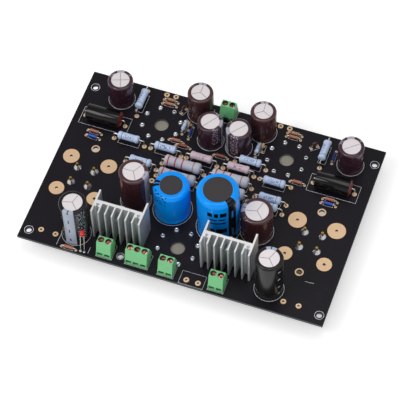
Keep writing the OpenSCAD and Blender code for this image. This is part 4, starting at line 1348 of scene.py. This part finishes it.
@dataclass
class FilmCapacitors:
    """Wrapped film capacitors on their sides, each with a dark red end seal."""

    frame: Frame
    wires: WireStock
    board_top: float
    kind: LyingKind = LyingKind(11.5 * MM, 25 * MM, 29 * MM, 0.8 * MM)
    seal_l: float = 1.3 * MM
    sides: int = 64

    def build(self) -> None:
        """Make the wrapped bodies and the seals."""
        r = self.kind.d / 2
        soft = r * 0.07
        seal_r = r * 0.995
        bodies = bmesh.new()
        seals = bmesh.new()
        wrap_l = self.kind.length - self.seal_l
        body = [(0.0, 0.0)] + arc(r - soft, soft, soft, -90, 0, 4)
        body += arc(r - soft, wrap_l - soft, soft, 0, 90, 4) + [(0.0, wrap_l)]
        seal = [(0.0, wrap_l), (seal_r, wrap_l)]
        seal += [(seal_r * math.cos(a), wrap_l + self.seal_l * math.sin(a)) for a in (0.5, 0.9, 1.25)]
        seal.append((0.0, self.kind.length))
        for island in self.frame.islands("film_capacitors"):
            centre = Vector((island.middle.x, island.middle.y, island.high.z - r))
            place = Matrix.Translation(centre - Vector((self.kind.length / 2, 0, 0)))
            place = place @ Matrix.Rotation(math.pi / 2, 4, "Y")
            lathe(bodies, body, place, self.sides)
            lathe(seals, seal, place, self.sides)
            self.wires.over(island, centre, centre, self.kind, self.board_top)
        for mesh in (bodies, seals):
            bmesh.ops.recalc_face_normals(mesh, faces=mesh.faces)
        wrap = Finish("film_wrap", srgb("#0b0a0c"), roughness=0.12, specular=0.34, variation=0.2, relief=0.02)
        red = Finish("film_end_seal", srgb("#64191a"), roughness=0.3, variation=0.3, cloud_scale=400.0)
        wrapped = piece_from("film_wrapped_bodies", bodies, wrap.build(), 40)
        stand_in(wrapped, Slot.FILM_WRAP, "film_capacitors")
        stand_in(piece_from("film_end_seals", seals, red.build(), 40), Slot.FILM_WRAP, "film_capacitors")


@dataclass
class BeadCapacitors:
    """Dipped bead capacitors, uneven as dipping leaves them."""

    frame: Frame
    wires: WireStock
    d: float = 3.8 * MM
    thick: float = 1.9 * MM
    pitch: float = 4.4 * MM
    wire_d: float = 0.56 * MM

    def build(self) -> None:
        """Make each bead and its two wires."""
        brown = bmesh.new()
        cream = bmesh.new()
        islands = self.frame.islands("bead_capacitors")
        by_depth = sorted(islands, key=lambda i: i.middle.y)
        for island in islands:
            mesh = cream if island in by_depth[:2] else brown
            centre = Vector((island.middle.x, island.middle.y, island.high.z - self.d / 2))
            place = Matrix.Translation(centre) @ Matrix.Rotation(island.turn, 4, "Z")
            made = bmesh.ops.create_uvsphere(mesh, u_segments=28, v_segments=18, radius=1.0)
            for vertex in made["verts"]:
                x, y, z = vertex.co
                sag = 1 + 0.12 * z
                vertex.co = place @ Vector((x * self.d / 2 * sag, y * self.thick / 2, z * self.d / 2))
            along = Vector((math.cos(island.turn), math.sin(island.turn), 0)) * self.pitch / 2
            for side in (-1, 1):
                foot = centre + along * side
                self.wires.of(self.wire_d).run([
                    (foot.x, foot.y, island.low.z), (foot.x, foot.y, centre.z - self.d * 0.3),
                    centre + along * side * 0.45 + Vector((0, 0, self.d * 0.1)),
                ])
        for name, mesh, colour in (("brown_beads", brown, "#5a2f24"), ("cream_beads", cream, "#c9a678")):
            finish = Finish(name, srgb(colour), roughness=0.35, variation=0.3, cloud_scale=600.0, relief=0.2)
            stand_in(piece_from(name, mesh, finish.build(), 60), Slot.BEAD_DIP, "bead_capacitors")


@dataclass
class IndicatorLamp:
    """Red indicator lamp that leans on two long bare legs."""

    frame: Frame
    wires: WireStock
    lens_d: float = 3 * MM
    flange_d: float = 3.8 * MM
    flange_t: float = 1 * MM
    lens_l: float = 3.4 * MM
    leg_pitch: float = 2.6 * MM
    leg_d: float = 0.5 * MM
    sides: int = 40

    def build(self) -> None:
        """Make the lens with its flange, and lead the two legs."""
        points = np.array([v.co for v in self.frame.nodes["indicator_lamp"].data.vertices])
        top = points[points[:, 2] > points[:, 2].max() - self.lens_d]
        foot = points[points[:, 2] < points[:, 2].min() + self.leg_d]
        head = Vector((top.min(axis=0) + top.max(axis=0)) / 2)
        base = Vector((foot.min(axis=0) + foot.max(axis=0)) / 2)
        axis = (head - base).normalized()
        tip = base + axis * ((points[:, 2].max() - base.z) / axis.z)
        lens_r = self.lens_d / 2
        flange = tip - axis * (self.lens_l + lens_r)
        place = Matrix.Translation(flange) @ axis.to_track_quat("Z", "Y").to_matrix().to_4x4()
        soft = 0.15 * MM
        outline = [(0.0, 0.0), (self.flange_d / 2 - soft, 0.0), (self.flange_d / 2, soft)]
        outline += [(self.flange_d / 2, self.flange_t - soft), (self.flange_d / 2 - soft, self.flange_t)]
        outline += [(lens_r, self.flange_t)] + arc(0.0, self.lens_l, lens_r, 0, 90, 10)[:-1]
        outline.append((0.0, self.lens_l + lens_r))
        mesh = bmesh.new()
        lathe(mesh, outline, place, self.sides)
        bmesh.ops.recalc_face_normals(mesh, faces=mesh.faces)
        finish = LensFinish("red_lens", srgb("#ee1f1c"), roughness=0.18, variation=0.1, relief=0.0)
        stand_in(piece_from("lamp_lens", mesh, finish.build(), 40), Slot.LENS, "indicator_lamp")
        for side in (-1, 1):
            shift = Vector((side * self.leg_pitch / 2, 0, 0))
            self.wires.of(self.leg_d).run([base + shift, flange + shift + axis * self.flange_t / 2])


@dataclass
class SolderJoints:
    """Solder at every hole: cones that wick up pins above the board and round leads below it."""

    frame: Frame
    board_top: float
    solder: bpy.types.Material
    plating: bpy.types.Material
    sides: int = 24
    wide_from: float = 2.5 * MM
    tilt: float = 0.05
    uneven: float = 0.06

    def template(self, profile: Profile, flip: bool) -> bpy.types.Object:
        """Make the shape that is set out, one unit wide and high.

        Args:
            profile: Radius and height of its outline.
            flip: Whether it hangs down.

        Returns:
            The shape, which is removed once it has been set out.
        """
        mesh = bmesh.new()
        place = Matrix.Rotation(math.pi, 4, "X") if flip else Matrix.Identity(4)
        lathe(mesh, profile, place, self.sides)
        bmesh.ops.recalc_face_normals(mesh, faces=mesh.faces)
        return piece_from("solder_shape", mesh, self.solder, 50)

    def spread(self, name: str, islands: Sequence[Island], profile: Profile, flip: bool) -> None:
        """Set out one kind of joint.

        Args:
            name: Name of the piece.
            islands: Solids that the joints stand for.
            profile: Outline of one joint.
            flip: Whether it hangs under the board.
        """
        shape = self.template(profile, flip)
        points = [(i.middle.x, i.middle.y, i.high.z if flip else i.low.z) for i in islands]
        sizes = [(i.size.x / 2, i.size.y / 2, i.size.z) for i in islands]
        piece = repeated(name, points, [], TREES.get("set_out"), {
            "Shape": shape, "Tilt": self.tilt, "Uneven": self.uneven, "Seed": 11, "Material": self.solder,
        }, sizes)
        bpy.data.objects.remove(shape)
        stand_in(piece, Slot.SOLDER, "solder_joints")

    def build(self) -> None:
        """Make the joints above and below the board."""
        low_dome = [
            (1.0, 0.0), (1.0, 0.1), (0.96, 0.35), (0.86, 0.58), (0.73, 0.75), (0.6, 0.84), (0.5, 0.86),
            (0.42, 0.84), (0.36, 0.81), (0.0, 0.805),
        ]
        wicked = [
            (1.0, 0.0), (0.99, 0.1), (0.92, 0.3), (0.76, 0.52),
            (0.57, 0.74), (0.44, 0.9), (0.36, 1.0), (0.0, 1.0),
        ]
        hanging = [(1.0, 0.0), (0.9, 0.12), (0.7, 0.32), (0.52, 0.6), (0.42, 0.88), (0.36, 1.0), (0.0, 1.0)]
        above = [i for i in self.frame.islands("solder_joints") if i.middle.z > self.board_top]
        below = [i for i in self.frame.islands("solder_joints") if i.middle.z < self.board_top]
        wide = [i for i in above if i.size.x / 2 > self.wide_from]
        narrow = [i for i in above if i.size.x / 2 <= self.wide_from]
        self.spread("tube_pin_solder", wide, wicked, False)
        self.spread("socket_pin_solder", narrow, low_dome, False)
        self.pin_ends(narrow)
        self.spread("underside_solder", below, hanging, True)
        self.rings(below)

    def pin_ends(self, joints: Sequence[Island]) -> None:
        """Show the dull end of each socket pin in the middle of its joint."""
        mesh = bmesh.new()
        lathe(mesh, [(0.0, 0.8), (0.34, 0.8), (0.34, 0.82), (0.0, 0.82)], Matrix.Identity(4), self.sides)
        bmesh.ops.recalc_face_normals(mesh, faces=mesh.faces)
        dull = Finish("dull_pin_end", srgb("#5a5054"), roughness=0.45, metallic=0.4).build()
        shape = piece_from("pin_end_shape", mesh, dull, 30)
        points = [(i.middle.x, i.middle.y, i.low.z) for i in joints]
        sizes = [(i.size.x / 2, i.size.y / 2, i.size.z) for i in joints]
        piece = repeated("socket_pin_ends", points, [], TREES.get("set_out"), {
            "Shape": shape, "Tilt": 0.0, "Uneven": 0.0, "Seed": 5, "Material": dull,
        }, sizes)
        bpy.data.objects.remove(shape)
        stand_in(piece, Slot.SOLDER)

    def rings(self, below: Sequence[Island]) -> None:
        """Lay a plated ring round each joint under the board."""
        flat = 0.04 * MM
        ring = [(0.8, 0.0), (1.3, 0.0), (1.3, 1.0), (0.8, 1.0), (0.8, 0.0)]
        mesh = bmesh.new()
        lathe(mesh, ring, Matrix.Rotation(math.pi, 4, "X"), self.sides)
        bmesh.ops.remove_doubles(mesh, verts=mesh.verts, dist=1e-6)
        bmesh.ops.recalc_face_normals(mesh, faces=mesh.faces)
        shape = piece_from("ring_shape", mesh, self.plating, 30)
        points = [(i.middle.x, i.middle.y, i.high.z) for i in below]
        sizes = [(i.size.x / 2, i.size.y / 2, flat) for i in below]
        piece = repeated("underside_rings", points, [], TREES.get("set_out"), {
            "Shape": shape, "Tilt": 0.0, "Uneven": 0.0, "Seed": 3, "Material": self.plating,
        }, sizes)
        bpy.data.objects.remove(shape)
        stand_in(piece, Slot.PLATING)


@dataclass
class Legend:
    """White lines printed on the board: rings round cans, outlines and marks, with no words."""

    frame: Frame
    board_top: float
    line_w: float = 0.25 * MM
    ink_t: float = 0.02 * MM
    holes: tuple[tuple[float, float, float], ...] = (
        (5.636 * MM, 7.002 * MM, 3 * MM), (207.636 * MM, 7.002 * MM, 3 * MM),
        (5.636 * MM, 129.602 * MM, 3 * MM), (207.636 * MM, 129.602 * MM, 3 * MM),
        (70.6 * MM, 7.24 * MM, 2.5 * MM),
    )
    strokes: tuple[tuple[float, float, float, float], ...] = (
        (27.2 * MM, 2.3 * MM, 27.4 * MM, 12.5 * MM), (49.4 * MM, 2.3 * MM, 49.5 * MM, 7.2 * MM),
        (191.2 * MM, 28.0 * MM, 197.3 * MM, 28.3 * MM),
    )
    spare: tuple[float, float, float, float] = (113.2 * MM, 0.6 * MM, 129.8 * MM, 10.4 * MM)
    paths: WirePaths = field(default_factory=WirePaths)

    @property
    def level(self) -> float:
        """Height of the middle of the ink."""
        return self.board_top + self.ink_t / 2

    def ring(self, x: float, y: float, r: float, steps: int = 72) -> None:
        """Add a circle."""
        turns = [math.tau * i / steps for i in range(steps)]
        self.paths.run([(x + r * math.cos(a), y + r * math.sin(a), self.level) for a in turns], closed=True)

    def box(self, island: Island, half_x: float, half_y: float) -> None:
        """Add a rectangle round the middle of a part, turned as the part is."""
        middle = Vector((island.middle.x, island.middle.y, self.level))
        turn = Matrix.Rotation(island.turn, 3, "Z")
        signs = ((-1, -1), (1, -1), (1, 1), (-1, 1))
        points = [middle + turn @ Vector((sx * half_x, sy * half_y, 0)) for sx, sy in signs]
        self.paths.run(points, closed=True)

    def build(self) -> None:
        """Gather every line and print it."""
        margins = {"brown_sleeves": 0.45 * MM, "blue_sleeves": 1.0 * MM, "black_sleeves": 0.6 * MM}
        for node, margin in margins.items():
            for island in self.frame.islands(node):
                self.ring(island.middle.x, island.middle.y, island.size.x / 2 + margin)
        for island in self.frame.islands("blue_resistors"):
            longest = max(island.size.x, island.size.y)
            half = (7.4 * MM, 2.6 * MM) if longest > 17 * MM else (3.9 * MM, 1.5 * MM)
            self.box(island, *half)
        for island in self.frame.islands("pink_resistors"):
            self.box(island, 7.4 * MM, 2.6 * MM)
        for island in self.frame.islands("grey_resistors"):
            self.box(island, 12.6 * MM, 3.9 * MM)
        for island in self.frame.islands("small_resistors"):
            self.box(island, 3.3 * MM, 1.15 * MM)
        for island in self.frame.islands("bead_capacitors"):
            self.box(island, 3.2 * MM, 1.6 * MM)
        for island in self.frame.islands("film_capacitors"):
            self.box(island, 17.3 * MM, 6.9 * MM)
        for name in "abcde":
            low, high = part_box(f"terminal_{name}_housing")
            gap = 0.35 * MM
            points = [
                (low.x - gap, low.y - gap), (high.x + gap, low.y - gap),
                (high.x + gap, high.y + gap), (low.x - gap, high.y + gap),
            ]
            self.paths.run([(x, y, self.level) for x, y in points], closed=True)
        self.loose()
        ink = Finish("white_ink", srgb("#eceef4"), roughness=0.7, variation=0.3, cloud_scale=900.0).build()
        piece = repeated("printed_lines", self.paths.points, self.paths.edges, TREES.get("ink_lines"), {
            "Line Width": self.line_w, "Thickness": self.ink_t, "Material": ink,
        })
        stand_in(piece, Slot.LAMINATE)

    def loose(self) -> None:
        """Add the rings round the screw holes, the empty outline and the loose strokes."""
        low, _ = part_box("circuit_board")
        for x, y, r in self.holes:
            self.ring(low.x + x, low.y + y, r, 48)
        for x0, y0, x1, y1 in self.strokes:
            self.paths.run([(low.x + x0, low.y + y0, self.level), (low.x + x1, low.y + y1, self.level)])
        left, front, right, back = self.spare
        points = [(left, front), (right, front), (right, back), (left, back)]
        self.paths.run([(low.x + x, low.y + y, self.level) for x, y in points], closed=True)


@dataclass
class Mouldings:
    """Sockets, terminal housings and heatsinks, remade with the soft edges of real ones."""

    frame: Frame
    turned_round: str = "e"
    side: float = 0.35 * MM
    shade_from: float = 0.25 * MM
    shade_at: float = 1.3 * MM
    window_top: float = 5.2 * MM

    def soften(self, node: str, name: str, finish: bpy.types.Material, width: float, slot: Slot) -> None:
        """Copy a CAD solid, round its edges and let the copy stand for it.

        Args:
            node: The CAD node.
            name: Name of the new piece.
            finish: Its material.
            width: Width of the rounding.
            slot: Its material slot.
        """
        mesh = self.frame.merged(node)
        bmesh.ops.dissolve_limit(mesh, angle_limit=math.radians(1), verts=mesh.verts, edges=mesh.edges)
        piece = piece_from(name, mesh, finish, 30)
        bevel = piece.modifiers.new("soft_edges", "BEVEL")
        bevel.width = width
        bevel.segments = 2
        bevel.limit_method = "ANGLE"
        bevel.angle_limit = math.radians(50)
        bevel.use_clamp_overlap = True
        bevel.harden_normals = True
        settled(piece)
        stand_in(piece, slot, node, body=self.frame.body_of(node))

    def wells(self) -> tuple[tuple[float, float], ...]:
        """Return the middle of each screw's well."""
        middles = []
        for node in self.frame.nodes:
            if "_screw_" in node:
                low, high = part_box(node)
                middles.append(((low.x + high.x) / 2, (low.y + high.y) / 2))
        return tuple(middles)

    def windows(self) -> tuple[tuple[float, ...], ...]:
        """Return the room behind each housing's wire windows, where shade is painted."""
        found = []
        for letter in "abcde":
            low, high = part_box(f"terminal_{letter}_housing")
            inward = -1 if letter == self.turned_round else 1
            front = high.y if inward < 0 else low.y
            back = low.y if inward < 0 else high.y
            found.append((
                low.x + self.side, high.x - self.side, front + inward * self.shade_from,
                front + inward * self.shade_at, back - inward * self.side,
                low.z + self.side, low.z + self.window_top,
            ))
        return tuple(found)

    def build(self) -> None:
        """Remake all of them."""
        ceramic = Finish(
            "socket_ceramic", srgb("#948e80"), roughness=0.5, variation=0.15, relief=0.15,
        ).build()
        sockets = (
            "octal_socket_left", "octal_socket_right", "octal_socket_front",
            "tube_socket_left", "tube_socket_right",
        )
        for node in sockets:
            self.soften(node, f"{node}_moulded", ceramic, 0.3 * MM, Slot.CERAMIC)
        # Painted shade inside the screw wells and at the back of the wire windows.
        green = ShadedHousingFinish(
            "terminal_green", srgb("#7aca8b"), roughness=0.42, variation=0.12, relief=0.1,
            wells=self.wells(), windows=self.windows(),
        ).build()
        for letter in "abcde":
            node = f"terminal_{letter}_housing"
            self.soften(node, f"{node}_moulded", green, 0.2 * MM, Slot.TERMINAL)
        # Faces that point up are painted brighter: sawn finish and painted highlight together.
        sink = SawnAndLitTopFinish(
            "heatsink_aluminium", srgb("#c9ccce"), roughness=0.38, metallic=0.6, variation=0.12,
            grain_scale=2500.0, stretch=(1.0, 1.0, 0.04), relief=0.25,
        ).build()
        for side in ("left", "right"):
            node = f"heatsink_{side}"
            self.soften(node, f"{node}_extruded", sink, 0.12 * MM, Slot.HEATSINK)


@dataclass
class KeptParts:
    """Finishes of the parts that keep their own solids."""

    frame: Frame

    def build(self) -> None:
        """Dress every node that stays."""
        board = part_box("circuit_board")
        mask = MaskFinish(
            "board_mask", srgb("#17141b"), roughness=0.36, specular=0.18, variation=0.15,
            low=board[0].z, high=board[1].z, relief=0.03,
        )
        self.frame.dress(mask.build(), "circuit_board")
        self.frame.dress(Finish(
            "contact_brass", srgb("#b8924c"), roughness=0.35, metallic=1.0,
        ).build(), "socket_contacts")
        cans = ("purple_cans", "brown_cans", "black_cans", "blue_cans")
        tops = sorted({round(i.high.z, 5) for node in cans for i in self.frame.islands(node)})
        # The score grooves just under each can top get painted shade.
        self.frame.dress(GrooveShadeFinish(
            "can_aluminium", srgb("#eee7e9"), roughness=0.42, metallic=0.35, variation=0.06, relief=0.25,
            grain_scale=900.0, levels=tuple(tops),
        ).build(), *cans)
        self.frame.dress(Finish("can_disc", srgb("#2f2b2e"), roughness=0.6).build(), "blue_can_discs")
        self.frame.dress(Finish(
            "device_epoxy", srgb("#202124"), roughness=0.5,
        ).build(), "regulator_left", "regulator_right")
        self.frame.dress(Finish(
            "plated_steel", srgb("#c9cdd2"), roughness=0.3, metallic=1.0,
        ).build(), "heatsink_screws", "heatsink_pins", "terminal_contacts")
        cages = [n for n in self.frame.nodes if "_cage_" in n]
        self.frame.dress(Finish("cage_steel", srgb("#b9bdc2"), roughness=0.35, metallic=1.0).build(), *cages)


@dataclass
class PlatedPads:
    """The bare plating, whose large discs differ in width as the mask was laid round them.

    The shares of the nominal width are for a front disc and a back disc.
    """

    frame: Frame
    plating: bpy.types.Material
    large_from: float = 8 * MM
    rim_from: float = 4 * MM
    past_rim: float = 0.1 * MM
    left_shares: tuple[float, float] = (0.872, 0.942)
    right_shares: tuple[float, float] = (0.855, 1.033)

    def build(self) -> None:
        """Remake the pads with each large disc at its own width."""
        mesh = self.frame.merged("plated_pads")
        discs = [i for i in self.frame.islands("plated_pads") if i.size.x > self.large_from]
        halfway = sum(i.middle.y for i in discs) / len(discs)
        for disc in discs:
            shares = self.left_shares if disc.middle.x < 0 else self.right_shares
            share = shares[disc.middle.y > halfway]
            for vertex in mesh.verts:
                arm = Vector((vertex.co.x - disc.middle.x, vertex.co.y - disc.middle.y, 0))
                if self.rim_from < arm.length < disc.size.x / 2 + self.past_rim:
                    vertex.co -= arm * (1 - share)
        stand_in(piece_from("bare_plating", mesh, self.plating, 30), Slot.PLATING, "plated_pads")


@dataclass
class TerminalScrews:
    """The terminals' screws, whose threads have running room in the cages that ride up round them."""

    frame: Frame
    running_room: float = 0.06 * MM
    shank_reach: float = 1.5 * MM

    def build(self) -> None:
        """Remake every screw on its own turning body."""
        screws = [n for n in self.frame.nodes if "_screw_" in n]
        heads = {round(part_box(node)[1].z, 5) for node in screws}
        # Painted shade on the slots and sides just under each screw head.
        copper = GrooveShadeFinish(
            "terminal_screw_copper", srgb("#e39a8b"), roughness=0.35, metallic=0.6,
            groove_shade_colour=srgb("#2a1512"), levels=tuple(heads), drop=0.15 * MM, reach=3 * MM,
        ).build()
        for node in screws:
            low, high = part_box(node)
            axis = Vector(((low.x + high.x) / 2, (low.y + high.y) / 2, 0))
            mesh = self.frame.merged(node)
            for vertex in mesh.verts:
                arm = Vector((vertex.co.x, vertex.co.y, 0)) - axis
                if arm.length < self.shank_reach:
                    vertex.co -= arm.normalized() * self.running_room
            piece = piece_from(f"{node}_turned", mesh, copper, 30)
            stand_in(piece, Slot.SCREW, node, body=self.frame.body_of(node))


def corners(bounds: tuple[Vector, Vector]) -> list[list[float]]:
    """Turn two corners into plain lists of numbers."""
    return [[round(v, 6) for v in corner] for corner in bounds]


def main() -> None:
    """Build every sub-assembly around the frame."""
    logging.basicConfig(level=logging.INFO, format="%(message)s")
    frame = Frame(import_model())
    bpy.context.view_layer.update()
    board_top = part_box("circuit_board")[1].z
    wires = WireStock(Finish("tinned_copper", srgb("#e0ded6"), roughness=0.28, metallic=1.0).build())
    solder = Finish(
        "solder", srgb("#d6d8db"), roughness=0.22, metallic=1.0, variation=0.12, relief=0.05,
    ).build()
    plating = Finish(
        "gold_plating", srgb("#ecc8a0"), roughness=0.42, metallic=0.5, variation=0.08, relief=0.05,
    ).build()
    Studio().build()
    KeptParts(frame).build()
    Mouldings(frame).build()
    PlatedPads(frame, plating).build()
    TerminalScrews(frame).build()
    Sleeves(frame).build()
    Resistors(frame, wires, board_top).build()
    FilmCapacitors(frame, wires, board_top).build()
    BeadCapacitors(frame, wires).build()
    IndicatorLamp(frame, wires).build()
    wires.build()
    SolderJoints(frame, board_top, solder, plating).build()
    Legend(frame, board_top).build()


if __name__ == "__main__":
    main()
